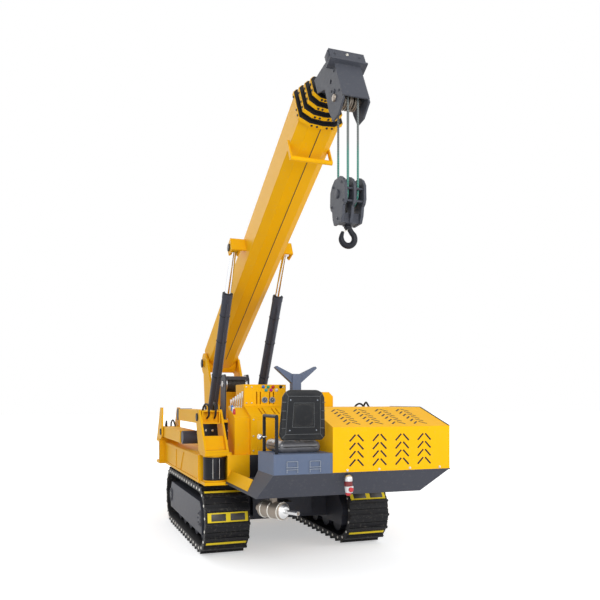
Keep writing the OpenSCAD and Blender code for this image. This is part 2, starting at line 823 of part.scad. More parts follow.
hang_y = pivot_y - sheave_along * cos(boom_angle) + sheave_n * sin(boom_angle);
block_hw = 95;
block_d = 155;
block_top = 130;
cross_z = hook_z + block_top - hook_block_h + 4;

// Cheek plate: rounded shoulders, full middle, and a step in to the hook's crosshead
cheek_right = [[60, block_top], [115, block_top - 35], [150, 45], [block_d, -70], [138, -105], [112,
    -122], [100, -190],
               [70, block_top - hook_block_h]];
cheek_points = concat(cheek_right, [for (i = [len(cheek_right) - 1 : -1 : 0]) [-cheek_right[i][0],
    cheek_right[i][1]]]);

module hook_block() {
    color(black) difference() {
        union() {
            for (x = [-block_hw, -16, block_hw - 22])
                translate([0, hang_y, hook_z]) side_profile(cheek_points, x, x + 22);
            for (x = [-fall_x, fall_x]) bar_x(x - sheave_hw, x + sheave_hw, hang_y, hook_z, sheave_r);
            bar_x(-block_hw - 8, block_hw + 8, hang_y, hook_z, 26);
            block([-block_hw + 1, hang_y - 50, cross_z], [block_hw - 1, hang_y + 50, cross_z + 80]);
            // Tie bars between the cheeks
            for (z = [20, -80], y = [-118, 118]) bar_x(-block_hw + 1, block_hw - 1, hang_y + y,
                hook_z + z, 9);
        }
        translate([0, hang_y, cross_z - 20]) cylinder(r = 24 + fit, h = 125);
    }
}

hang_z = pivot_z + sheave_along * sin(boom_angle) + sheave_n * cos(boom_angle);
fall_y = sheave_r + rope_r + seat_gap;

// Falls of the hoist rope from the head's sheaves to the block's
module hoist_rope() {
    color(steel) for (x = [-fall_x, fall_x], y = [-fall_y, fall_y])
        translate([x, hang_y + y, hook_z]) cylinder(r = rope_r, h = hang_z - hook_z);
}

shank_z = cross_z - 5;
bowl_drop = 112;
bowl_r = 62;
bowl_bar_r = 21;

module hook() {
    color(charcoal) {
        translate([0, hang_y, shank_z - 40]) cylinder(r = 24, h = 140);
        translate([0, hang_y, shank_z - 38]) sphere(r = 34);
        // Bowl of the hook: a ring with its mouth cut open on one side
        translate([0, hang_y, shank_z - bowl_drop]) rotate([0, 0, -90]) difference() {
            rotate([0, 90, 0]) rotate_extrude() translate([bowl_r, 0]) circle(r = bowl_bar_r);
            block([-bowl_bar_r - 1, -2 * bowl_r, 0], [bowl_bar_r + 1, -bowl_bar_r, bowl_r]);
        }
    }
}

// Outriggers: swivel root in its bay, arm pinned in the root, sliding beam with a foot roller

module at_corner(x, y) {
    // Arms point along +Y from the rear swivels and along -Y from the front ones
    translate([x, y, 0]) mirror([0, y > 0 ? 1 : 0, 0]) children();
}

root_base_z = deck_z1 + seat_gap;
arm_in = arm_w / 2 + side_gap;
root_t = 20;

module outrigger_root(pin_z) {
    color(charcoal) {
        translate([0, 0, deck_z0 + plate_t + seat_gap])
            cylinder(r = drum_r, h = deck_z1 - deck_z0 - 2 * plate_t - 2 * seat_gap);
        translate([0, 0, deck_z0]) cylinder(r = swivel_pin_r, h = root_base_z - deck_z0 + 5);
        for (z = [deck_z0 + plate_t + seat_gap, deck_z1 - plate_t - seat_gap - 14])
            translate([0, 0, z]) cylinder(r = drum_r + 5, h = 14);
    }
    color(yellow) {
        block([-arm_in - root_t, -drum_r - 15, root_base_z], [arm_in + root_t, drum_r + 90,
            root_base_z + 22]);
        for (x = [-arm_in - root_t, arm_in]) difference() {
            side_profile([[-drum_r - 15, root_base_z], [arm_pin - 70, bracket_z], [arm_pin + 60, bracket_z],
                          [arm_pin + 70, pin_z - 40], [drum_r + 90, root_base_z]], x, x + root_t);
            bar_x(x - 1, x + root_t + 1, arm_pin, pin_z, 28 + fit);
        }
        // Cross plate between the two side plates under the arm
        side_profile([[-20, root_base_z + 21], [60, 1150], [75, 1150], [0, root_base_z + 21]],
            -arm_in - 1, arm_in + 1);
    }
}

arm_rear = arm_pin - 110;
beam_gap = 12;

module outrigger_arm(pin_z) {
    color(yellow) {
        difference() {
            block([-arm_w / 2, arm_rear, pin_z - arm_h / 2], [arm_w / 2, arm_len, pin_z + arm_h / 2]);
            block([-arm_w / 2 + beam_gap, arm_pin + 60, pin_z - arm_h / 2 + beam_gap],
                  [arm_w / 2 - beam_gap, arm_len + 1, pin_z + arm_h / 2 - beam_gap]);
            block([-arm_w / 2 + beam_gap, arm_rear - 1, pin_z - arm_h / 2 + beam_gap],
                  [arm_w / 2 - beam_gap, arm_rear + 60, pin_z + arm_h / 2 - beam_gap]);
        }
        bar_x(-arm_in - root_t - 6, arm_in + root_t + 6, arm_pin, pin_z, 28);
    }
}

module outrigger_beam(pin_z) {
    color(charcoal) {
        block([-arm_w / 2 + beam_gap + fit, arm_pin + 90, pin_z - arm_h / 2 + beam_gap + fit],
              [arm_w / 2 - beam_gap - fit, arm_len + 110, pin_z + arm_h / 2 - beam_gap - fit]);
        bar_x(-arm_w / 2 + 5, arm_w / 2 - 5, arm_len + 110, pin_z, foot_r);
    }
}

module at_rl() at_corner(-rear_swivel_x, rear_swivel_y) children();
module at_rr() at_corner(rear_swivel_x, rear_swivel_y) children();
module at_fl() at_corner(-front_swivel_x, front_swivel_y) children();
module at_fr() at_corner(front_swivel_x, front_swivel_y) children();

carbody();
track_left();
track_right();
track_frame_left();
track_frame_right();
chassis();
tray();
seat_box();
hood();
engine();
console();
oil_tank();
boom_rest();
seat();
grab_rail();
muffler();
lever_bank();
slew_ring();
turntable();
winch_frame();
winch_drum();
boom_base();
boom_2();
boom_3();
boom_4();
boom_5();
boom_head();
head_sheaves();
lift_barrels();
lift_rods();
hoist_rope();
hook_block();
hook();
at_rl() outrigger_root(rear_pin_z);  // outrigger_root_rl
at_rr() outrigger_root(rear_pin_z);  // outrigger_root_rr
at_fl() outrigger_root(front_pin_z);  // outrigger_root_fl
at_fr() outrigger_root(front_pin_z);  // outrigger_root_fr
at_rl() outrigger_arm(rear_pin_z);  // outrigger_arm_rl
at_rr() outrigger_arm(rear_pin_z);  // outrigger_arm_rr
at_fl() outrigger_arm(front_pin_z);  // outrigger_arm_fl
at_fr() outrigger_arm(front_pin_z);  // outrigger_arm_fr
at_rl() outrigger_beam(rear_pin_z);  // outrigger_beam_rl
at_rr() outrigger_beam(rear_pin_z);  // outrigger_beam_rr
at_fl() outrigger_beam(front_pin_z);  // outrigger_beam_fl
at_fr() outrigger_beam(front_pin_z);  // outrigger_beam_fr
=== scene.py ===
"""Looks of the tracked telescopic crane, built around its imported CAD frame."""

import logging
import math
from dataclasses import dataclass, field
from enum import Enum
from itertools import product
from typing import Callable, Sequence

import bmesh
import bpy
from mathutils import Matrix, Vector


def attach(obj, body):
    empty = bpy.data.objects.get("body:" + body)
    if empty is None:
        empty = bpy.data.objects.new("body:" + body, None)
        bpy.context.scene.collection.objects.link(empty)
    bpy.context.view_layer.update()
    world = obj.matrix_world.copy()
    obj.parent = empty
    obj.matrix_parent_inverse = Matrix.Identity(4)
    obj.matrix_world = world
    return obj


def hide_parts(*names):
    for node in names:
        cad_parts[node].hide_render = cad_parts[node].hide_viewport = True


log = logging.getLogger("crane")
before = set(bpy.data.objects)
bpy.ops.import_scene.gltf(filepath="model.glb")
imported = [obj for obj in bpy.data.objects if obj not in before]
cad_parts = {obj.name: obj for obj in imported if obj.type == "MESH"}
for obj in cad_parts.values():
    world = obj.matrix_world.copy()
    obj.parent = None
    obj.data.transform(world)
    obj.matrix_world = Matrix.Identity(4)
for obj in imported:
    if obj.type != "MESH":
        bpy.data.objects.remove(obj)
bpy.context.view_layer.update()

Point = tuple[float, float, float]
Colour = tuple[float, float, float]
Outline = Sequence[tuple[float, float]]
Socket = bpy.types.NodeSocket
Vert = bmesh.types.BMVert
Input = float | Sequence[float] | Socket
Inputs = dict[str | int, Input]

BOOM_ANGLE = math.radians(27.4)
FOOT_PIN: Point = (0.0, 2.300, 2.036)
HEAD_SHEAVE = (4.985, -0.400)
FALL_X = 0.045
ROPE_R = 0.009
COLLARED = ("boom_base", "boom_2", "boom_3", "boom_4")
SMOOTH_TUBE = 60.0
DECK_REAR = -1.150
BROAD_NOISE = (2.3, 5.0)
FINE_NOISE = (38.0, 6.0)


def on_boom(x: float, along: float, up: float) -> Vector:
    """Gives the place of a point that is measured on the boom.

    Args:
        x: Distance to the right of the boom's middle.
        along: Distance from the foot pin towards the head.
        up: Height over the foot pin, square to the boom.

    Returns:
        The point in the crane's frame.
    """
    c, s = math.cos(BOOM_ANGLE), math.sin(BOOM_ANGLE)
    return Vector((x, FOOT_PIN[1] - along * c + up * s, FOOT_PIN[2] + along * s + up * c))


def at_boom(x: float, along: float, up: float) -> Matrix:
    """Gives the matrix that places a piece on the boom and tilts it the same way."""
    return Matrix.Translation(on_boom(x, along, up)) @ Matrix.Rotation(-BOOM_ANGLE, 4, "X")


def right(x: float) -> Vector:
    """Gives a step to the crane's right."""
    return Vector((x, 0, 0))


def put(name: str, data: bpy.types.ID) -> bpy.types.Object:
    """Puts new data into the scene.

    Args:
        name: The object's name.
        data: Its mesh, lamp or camera.

    Returns:
        The new object.
    """
    obj = bpy.data.objects.new(name, data)
    bpy.context.scene.collection.objects.link(obj)
    return obj


def rgba(colour: Colour, gain: float = 1.0) -> tuple[float, ...]:
    """Gives a colour times a gain, with full cover."""
    return (*(min(1.0, c * gain) for c in colour), 1.0)


class Graph:
    """The node tree of a material or a world, under construction."""

    def __init__(self, owner: bpy.types.Material | bpy.types.World) -> None:
        """Opens the owner's node tree."""
        owner.use_nodes = True
        self.nodes, self.links = owner.node_tree.nodes, owner.node_tree.links

    def feed(self, node: bpy.types.Node, inputs: Inputs) -> None:
        """Sets a node's inputs to values, or links them to sockets.

        Args:
            node: The node.
            inputs: A value or a socket for each input's name or number.
        """
        for key, value in inputs.items():
            if isinstance(value, Socket):
                self.links.new(value, node.inputs[key])
            else:
                node.inputs[key].default_value = value

    def add(self, kind: str, inputs: Inputs, **settings: str | int) -> bpy.types.Node:
        """Adds a node.

        Args:
            kind: Its type, without the prefix that all types share.
            inputs: A value or a socket for each input's name or number.
            settings: Its own settings.

        Returns:
            The new node.
        """
        node = self.nodes.new(f"ShaderNode{kind}")
        for key, value in settings.items():
            setattr(node, key, value)
        self.feed(node, inputs)
        return node

    def place(self) -> Socket:
        """Gives the Object coordinates' socket."""
        return self.add("TexCoord", {}).outputs["Object"]

    def calc(self, operation: str, one: Input, two: Input) -> Socket:
        """Gives the outcome of an operation on two numbers."""
        return self.add("Math", {0: one, 1: two}, operation=operation).outputs[0]

    def mix(self, share: Input, low: Input, high: Input) -> Socket:
        """Mixes two colours by the second one's share."""
        return self.add("Mix", {0: share, 6: low, 7: high}, data_type="RGBA").outputs[2]

    def ramp(self, value: Socket, start: tuple[float, float], end: tuple[float, float]) -> Socket:
        """Maps one range of values to another and stays inside it.

        Args:
            value: The value.
            start: The range it comes from.
            end: The range it goes to.

        Returns:
            The mapped value's socket.
        """
        limits = {"From Min": start[0], "From Max": start[1], "To Min": end[0], "To Max": end[1]}
        return self.add("MapRange", {"Value": value, **limits}).outputs["Result"]

    def noise(self, place: Socket, scale: float, detail: float) -> Socket:
        """Gives a noise of some patches per metre and octaves."""
        return self.add("TexNoise", {"Scale": scale, "Detail": detail, "Vector": place}).outputs["Fac"]

    def surface(self, inputs: Inputs) -> None:
        """Feeds the material's shader."""
        self.feed(self.nodes["Principled BSDF"], inputs)


class Wear(Enum):
    """How used a painted surface looks."""

    CLEAN = 0.04
    DUSTY = 0.12
    WORKED = 0.24


@dataclass(frozen=True)
class Finish:
    """A finish with colour drift, grain, soft worn edges and dust marks on Object coordinates."""

    name: str
    colour: Colour
    roughness: float = 0.4
    metallic: float = 0.0
    coat: float = 0.0
    drift: float = 0.10
    grain: float = 900.0
    bump: float = 0.03
    wear: Wear = Wear.CLEAN
    dust: Colour = (0.33, 0.30, 0.25)
    gloss: float = 0.5
    edge: float = 0.0
    bare: Colour = (0.30, 0.29, 0.27)
    edge_radius: float = 0.004

    def make(self) -> bpy.types.Material:
        """Builds the material, or gives the one already built.

        Returns:
            The node material of this finish.
        """
        known = bpy.data.materials.get(self.name)
        if known:
            return known
        mat = bpy.data.materials.new(self.name)
        graph = Graph(mat)
        place = graph.place()
        broad, fine, peel = (graph.noise(place, *noise) for noise in (BROAD_NOISE, FINE_NOISE, (self.grain, 2.0)))
        shade = graph.mix(broad, rgba(self.colour, 1.0 - self.drift), rgba(self.colour, 1.0 + self.drift))
        marks = graph.ramp(fine, (0.56, 0.80), (0.0, self.wear.value))
        dusty = graph.mix(marks, shade, rgba(self.dust))
        soft = graph.add("Bevel", {"Radius": self.edge_radius}, samples=4).outputs["Normal"]
        scuffed = graph.mix(self._edges(graph, soft, fine), dusty, rgba(self.bare))
        rough = graph.ramp(fine, (0.0, 1.0), (max(0.04, self.roughness - 0.08), min(1.0, self.roughness + 0.10)))
        bump = graph.add("Bump", {"Strength": self.bump, "Distance": 0.002, "Height": peel, "Normal": soft})
        graph.surface({"Base Color": scuffed, "Metallic": self.metallic, "Roughness": rough,
                       "Normal": bump.outputs["Normal"], "Specular IOR Level": self.gloss,
                       "Coat Weight": self.coat, "Coat Roughness": 0.12})
        return mat

    def _edges(self, graph: Graph, soft: Socket, patches: Socket) -> Socket:
        """Gives a mask of rubbed edges, broken up by patches.

        Args:
            graph: The material's node tree.
            soft: The rounded edges' normal.
            patches: A noise that breaks the wear up.

        Returns:
            The mask's socket, at most the finish's edge wear.
        """
        true = graph.add("NewGeometry", {}).outputs["True Normal"]
        turn = graph.add("VectorMath", {0: soft, 1: true}, operation="DOT_PRODUCT").outputs["Value"]
        return graph.calc("MULTIPLY", graph.ramp(turn, (0.985, 0.88), (0.0, self.edge)), patches)


@dataclass(frozen=True)
class RopeFinish:
    """Wire rope with slanting strands, and a green lower stretch."""

    name: str
    strand_pitch: float = 0.016
    green_top: float = 3.62
    green_fade: float = 0.12
    wire: Colour = (0.10, 0.11, 0.11)
    green: Colour = (0.015, 0.20, 0.15)
    strand: Colour = (0.34, 0.37, 0.36)

    def make(self) -> bpy.types.Material:
        """Builds the rope's material, or gives the one already built.

        Returns:
            The node material of the rope.
        """
        known = bpy.data.materials.get(self.name)
        if known:
            return known
        mat = bpy.data.materials.new(self.name)
        graph = Graph(mat)
        place = graph.place()
        wave = graph.add("TexWave", {"Scale": 0.5 / self.strand_pitch, "Distortion": 0.4, "Vector": place},
                         bands_direction="DIAGONAL").outputs["Fac"]
        height = graph.add("SeparateXYZ", {"Vector": place}).outputs["Z"]
        low = graph.ramp(height, (self.green_top, self.green_top - self.green_fade), (0.0, 1.0))
        tint = graph.mix(low, rgba(self.wire), rgba(self.green))
        strands = graph.mix(graph.calc("MULTIPLY", wave, 0.45), tint, rgba(self.strand))
        bump = graph.add("Bump", {"Strength": 0.4, "Distance": 0.0008, "Height": wave})
        graph.surface({"Base Color": strands, "Roughness": 0.60, "Specular IOR Level": 0.15,
                       "Normal": bump.outputs["Normal"]})
        return mat


YELLOW = Finish("yellow_enamel", (0.88, 0.455, 0.005), 0.44, drift=0.05, wear=Wear.DUSTY, gloss=0.08,
                edge=0.20)
CHARCOAL = Finish("charcoal_enamel", (0.055, 0.058, 0.074), 0.46, wear=Wear.DUSTY, gloss=0.18, edge=0.35)
SLATE = Finish("slate_enamel", (0.105, 0.136, 0.210), 0.46, wear=Wear.DUSTY, gloss=0.18, edge=0.30)
BLACK = Finish("black_enamel", (0.013, 0.014, 0.019), 0.40, gloss=0.16, edge=0.30)
TRACK = Finish("track_black", (0.010, 0.010, 0.012), 0.58, drift=0.3, grain=260.0, bump=0.15, wear=Wear.WORKED,
               gloss=0.25, edge=0.45)
CHROME = Finish("cylinder_chrome", (0.80, 0.81, 0.83), 0.12, metallic=1.0, drift=0.02, bump=0.0)
STEEL = Finish("polished_steel", (0.60, 0.60, 0.60), 0.34, metallic=1.0, grain=420.0, bump=0.05)
WORN_STEEL = Finish("worn_steel", (0.28, 0.24, 0.20), 0.45, metallic=0.8, drift=0.3, grain=300.0, bump=0.1,
                    wear=Wear.WORKED)
IRON = Finish("cast_iron", (0.03, 0.03, 0.033), 0.6, drift=0.2, grain=300.0, bump=0.2)
HEAD_GREY = Finish("head_grey", (0.064, 0.068, 0.083), 0.50, wear=Wear.DUSTY, gloss=0.14, edge=0.35)
BARREL = Finish("barrel_enamel", (0.050, 0.056, 0.078), 0.40, gloss=0.2, edge=0.3)
HEAD_SIDE = Finish("last_section_black", (0.014, 0.014, 0.016), 0.55, gloss=0.2)
SHELL = Finish("moulded_black", (0.010, 0.011, 0.013), 0.52, grain=1500.0, bump=0.16, gloss=0.2, edge=0.6)
# Lighter grey, with strong lightening at its edges, for the seat back's embossed frames and ribs: a painted highlight
# of their lit edges.
RIB_PAINTED_HIGHLIGHT = Finish("rib_painted_highlight", (0.055, 0.060, 0.066), 0.45, grain=1500.0, bump=0.10, gloss=0.3, edge=0.6)
LATCH = Finish("latch_grey", (0.30, 0.33, 0.38), 0.40, metallic=0.3, gloss=0.3)
VINYL = Finish("grey_seat_vinyl", (0.13, 0.13, 0.14), 0.30, coat=0.3, grain=60.0, bump=0.6, wear=Wear.DUSTY)
RUBBER = Finish("hose_rubber", (0.012, 0.012, 0.013), 0.62, grain=800.0, bump=0.2, gloss=0.3)
WHITE = Finish("white_plastic", (0.70, 0.71, 0.71), 0.4)
RED = Finish("red_plastic", (0.50, 0.02, 0.03), 0.35)
BLUE = Finish("blue_plastic", (0.02, 0.16, 0.55), 0.35)
TEAL = Finish("teal_plastic", (0.01, 0.36, 0.42), 0.35)
PINK = Finish("magenta_plastic", (0.55, 0.02, 0.28), 0.35)
GREEN = Finish("green_plastic", (0.01, 0.36, 0.20), 0.35)
ZINC = Finish("zinc_bolt", (0.62, 0.60, 0.55), 0.32, metallic=0.9)
DIAL = Finish("dial_face", (0.03, 0.05, 0.10), 0.20, coat=0.8)
WINDINGS = Finish("greased_rope", (0.045, 0.040, 0.034), 0.42, metallic=0.3, drift=0.3, grain=500.0, bump=0.2)
LEMON = Finish("lemon_paint", (0.88, 0.66, 0.03), 0.5, drift=0.06, wear=Wear.WORKED, gloss=0.1)
PANE = Finish("dark_pane", (0.035, 0.032, 0.028), 0.45, drift=0.5, wear=Wear.WORKED)
FILTER_RED = Finish("filter_red", (0.16, 0.012, 0.014), 0.35)
ROPE = RopeFinish("hoist_wire")

NODE_FINISH: dict[str, Finish | RopeFinish] = {
    "carbody": CHARCOAL, "track_left": TRACK, "track_right": TRACK,
    "track_frame_left": CHARCOAL, "track_frame_right": CHARCOAL, "chassis": YELLOW,
    "tray": CHARCOAL, "seat_box": SLATE, "hood": YELLOW, "engine": IRON, "console": YELLOW,
    "oil_tank": YELLOW, "boom_rest": SLATE, "seat": VINYL, "grab_rail": BLACK, "muffler": WORN_STEEL,
    "lever_bank": YELLOW, "slew_ring": BLACK, "turntable": YELLOW, "winch_frame": CHARCOAL,
    "winch_drum": STEEL, "boom_base": YELLOW, "boom_2": YELLOW, "boom_3": YELLOW, "boom_4": YELLOW,
    "boom_5": HEAD_SIDE, "boom_head": HEAD_GREY, "head_sheaves": STEEL, "lift_barrels": BARREL,
    "lift_rods": CHROME, "hoist_rope": ROPE, "hook_block": HEAD_GREY, "hook": BLACK,
}


class Shape:
    """A mesh under construction: bmesh pieces gathered into one object."""

    def __init__(self, name: str) -> None:
        """Starts an empty shape."""
        self.name = name
        self.mesh = bmesh.new()

    def box(self, low: Sequence[float], high: Sequence[float], bevel: float = 0.004,
            turn: Matrix | None = None) -> None:
        """Adds a box with rounded edges.

        Args:
            low: Its lower corner.
            high: Its upper corner.
            bevel: Radius of its edges.
            turn: A matrix applied after it is placed.
        """
        size = [h - l for l, h in zip(low, high)]
        mid = Vector([(h + l) / 2 for l, h in zip(low, high)])
        new = bmesh.ops.create_cube(self.mesh, size=1.0)["verts"]
        bmesh.ops.scale(self.mesh, vec=size, verts=new)
        bmesh.ops.translate(self.mesh, vec=mid, verts=new)
        new = self._bevel(new, min(bevel, 0.45 * min(size)))
        if turn is not None:
            bmesh.ops.transform(self.mesh, matrix=turn, verts=new)

    def plate(self, outline: Outline, low: float, high: float, turn: Matrix,
              bevel: float = 0.003) -> None:
        """Adds a plate with any outline, drawn in X and Z, thick along Y.

        Args:
            outline: Its corners as x and z.
            low: Its lower face along Y.
            high: Its upper face along Y.
            turn: A matrix that places it.
            bevel: Radius of its edges.
        """
        corners = [self.mesh.verts.new((x, low, z)) for x, z in outline]
        face = self.mesh.faces.new(corners)
        grown = bmesh.ops.extrude_face_region(self.mesh, geom=[face])["geom"]
        tops = [v for v in grown if isinstance(v, Vert)]
        bmesh.ops.translate(self.mesh, vec=(0, high - low, 0), verts=tops)
        new = self._bevel(corners + tops, bevel)
        bmesh.ops.transform(self.mesh, matrix=turn, verts=new)

    def collar(self, outer: Outline, inner: Outline, low: float, high: float, turn: Matrix) -> None:
        """Adds a flat ring between two outlines with as many corners, drawn in X and Z.

        Args:
            outer: Its outer corners as x and z.
            inner: Its inner corners as x and z.
            low: Its lower face along Y.
            high: Its upper face along Y.
            turn: A matrix that places it.
        """
        loops = [[self.mesh.verts.new((x, y, z)) for x, z in line]
                 for line, y in ((outer, low), (outer, high), (inner, high), (inner, low))]
        for a, b in zip(loops, [*loops[1:], loops[0]]):
            for i, v in enumerate(a):
                k = (i + 1) % len(a)
                self.mesh.faces.new((v, a[k], b[k], b[i]))
        bmesh.ops.transform(self.mesh, matrix=turn, verts=[v for line in loops for v in line])

    def rod(self, start: Sequence[float], end: Sequence[float], radius: float, end_radius: float | None = None,
            sides: int = 24, bevel: float = 0.0) -> None:
        """Adds a round bar or cone between two points.

        Args:
            start: Middle of its first end.
            end: Middle of its second end.
            radius: Its radius at the first end.
            end_radius: Its radius at the second end, the same when left out.
            sides: Sides of its outline.
            bevel: Radius of its end edges.
        """
        a, b = Vector(start), Vector(end)
        line = b - a
        new = bmesh.ops.create_cone(self.mesh, cap_ends=True, cap_tris=False, segments=sides, radius1=radius,
                                    radius2=radius if end_radius is None else end_radius,
                                    depth=line.length)["verts"]
        if bevel > 0.0:
            rims = {e for v in new for e in v.link_edges if len(e.link_faces) == 2
                    and any(len(f.verts) > 4 for f in e.link_faces)}
            made = bmesh.ops.bevel(self.mesh, geom=list(rims), offset=bevel, offset_type="OFFSET", segments=2,
                                   profile=0.5, affect="EDGES", material=-1)
            new = list({v for v in new if v.is_valid} | set(made["verts"]))
        self._stand(new, (a + b) / 2, line)

    def ball(self, middle: Sequence[float], radius: float, squash: float = 1.0) -> None:
        """Adds a ball, flattened along Z when squash is below one.

        Args:
            middle: Its middle.
            radius: Its radius.
            squash: Its height over its width.
        """
        new = bmesh.ops.create_uvsphere(self.mesh, u_segments=20, v_segments=12, radius=radius)["verts"]
        bmesh.ops.scale(self.mesh, vec=(1, 1, squash), verts=new)
        bmesh.ops.translate(self.mesh, vec=Vector(middle), verts=new)

    def ring(self, middle: Sequence[float], axis: Sequence[float], radius: float, bar: float,
             around: int = 40) -> None:
        """Adds a round ring.

        Args:
            middle: Its middle.
            axis: The axis it lies round.
            radius: Its radius to the bar's middle.
            bar: The bar's radius.
            around: Steps round the axis.
        """
        made = bmesh.ops.create_circle(self.mesh, cap_ends=False, segments=10, radius=bar)
        verts = made["verts"]
        bmesh.ops.rotate(self.mesh, cent=(0, 0, 0), matrix=Matrix.Rotation(math.pi / 2, 3, "X"), verts=verts)
        bmesh.ops.translate(self.mesh, vec=(radius, 0, 0), verts=verts)
        edges = list({e for v in verts for e in v.link_edges})
        spun = bmesh.ops.spin(self.mesh, geom=verts + edges, cent=(0, 0, 0), axis=(0, 0, 1), angle=2 * math.pi,
                              steps=around, use_merge=True)
        whole = list(set(verts) | {v for v in spun["geom_last"] if isinstance(v, Vert)})
        self._stand(self._island(whole), Vector(middle), Vector(axis))

    def bolt(self, place: Sequence[float], out: Sequence[float], size: float = 0.012) -> None:
        """Adds a washer with a hexagon head on it.

        Args:
            place: Middle of the washer's seat.
            out: Direction away from the seat.
            size: Radius of the head.
        """
        a, d = Vector(place), Vector(out).normalized()
        self.rod(a - d * 0.001, a + d * size * 0.25, size * 1.35, sides=16)
        self.rod(a + d * size * 0.2, a + d * size * 0.95, size, sides=6, bevel=size * 0.12)

    def bolts(self, xs: Sequence[float], ys: Sequence[float], zs: Sequence[float], out: Point, size: float) -> None:
        """Adds a bolt at each place of a grid."""
        for place in product(xs, ys, zs):
            self.bolt(place, out, size)

    def sweep(self, points: Sequence[Sequence[float]], radius: float | Callable[[float], float],
              sides: int = 12) -> None:
        """Adds a round tube along a smooth line.

        Args:
            points: Points that the tube's middle passes through.
            radius: Its radius, or the radius at a share of its length.
            sides: Sides of its outline.
        """
        line = smooth_line([Vector(p) for p in points], 8)
        side = Vector((0.13, 0.31, 0.94))
        last: list[Vert] | None = None
        for i, p in enumerate(line):
            ahead = (line[min(i + 1, len(line) - 1)] - line[max(i - 1, 0)]).normalized()
            side = (side - ahead * side.dot(ahead)).normalized()
            r = radius(i / (len(line) - 1)) if callable(radius) else radius
            made = bmesh.ops.create_circle(self.mesh, cap_ends=i in (0, len(line) - 1), segments=sides, radius=r)
            place = Matrix((side, ahead.cross(side), ahead)).transposed().to_4x4()
            place.translation = p
            bmesh.ops.transform(self.mesh, matrix=place, verts=made["verts"])
            if last is not None:
                loops = [e for v in last + made["verts"] for e in v.link_edges
                         if e.other_vert(v) in (last if v in last else made["verts"])]
                bmesh.ops.bridge_loops(self.mesh, edges=list(set(loops)))
            last = made["verts"]

    def _stand(self, verts: list[Vert], middle: Vector, axis: Vector) -> None:
        """Turns vertices from Z to an axis and moves them to their middle."""
        turn = Vector((0, 0, 1)).rotation_difference(axis.normalized()).to_matrix().to_4x4()
        bmesh.ops.transform(self.mesh, matrix=Matrix.Translation(middle) @ turn, verts=verts)

    def _island(self, seeds: list[Vert]) -> list[Vert]:
        """Gives all vertices joined to the seeds.

        Args:
            seeds: Vertices to start from.

        Returns:
            The seeds that are left and all that their edges lead to.
        """
        seen = {v for v in seeds if v.is_valid}
        todo = list(seen)
        while todo:
            for e in todo.pop().link_edges:
                for v in e.verts:
                    if v not in seen:
                        seen.add(v)
                        todo.append(v)
        return list(seen)

    def _bevel(self, verts: list[Vert], size: float) -> list[Vert]:
        """Rounds all edges of a fresh solid.

        Args:
            verts: The solid's vertices.
            size: Radius of its edges, or zero to leave them sharp.

        Returns:
            The solid's new vertices.
        """
        if size <= 0.0:
            return verts
        edges = list({e for v in verts for e in v.link_edges})
        made = bmesh.ops.bevel(self.mesh, geom=edges, offset=size, offset_type="OFFSET", segments=2, profile=0.5,
                               affect="EDGES", material=-1)
        return made["verts"]

    def finish(self, finish: Finish | RopeFinish, body: str = "carrier", smooth: float = 40.0) -> bpy.types.Object:
        """Turns the shape into an object that rides on a body.

        Args:
            finish: Its finish.
            body: The CAD body that carries it, the carrier when left out.
            smooth: Edges flatter than this many degrees are shaded smooth.

        Returns:
            The new object.
        """
        bmesh.ops.recalc_face_normals(self.mesh, faces=self.mesh.faces)
        data = bpy.data.meshes.new(self.name)
        self.mesh.to_mesh(data)
        self.mesh.free()
        obj = put(self.name, data)
        data.materials.append(finish.make())
        data.shade_smooth()
        data.set_sharp_from_angle(angle=math.radians(smooth))
        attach(obj, body)
        log.info("%s: %d faces on %s", self.name, len(data.polygons), body)
        return obj


def smooth_line(points: list[Vector], steps: int) -> list[Vector]:
    """Rounds a line through points with Catmull-Rom curves.

    Args:
        points: The points to pass through.
        steps: New points for each stretch.

    Returns:
        The rounded line.
    """
    line: list[Vector] = []
    ends = [points[0] * 2 - points[1], *points, points[-1] * 2 - points[-2]]
    for a, b, c, d in zip(ends, ends[1:], ends[2:], ends[3:]):
        for k in range(steps):
            t = k / steps
            line.append(0.5 * ((2 * b) + (c - a) * t + (2 * a - 5 * b + 4 * c - d) * t * t
                               + (3 * b - a - 3 * c + d) * t ** 3))
    return [*line, points[-1]]


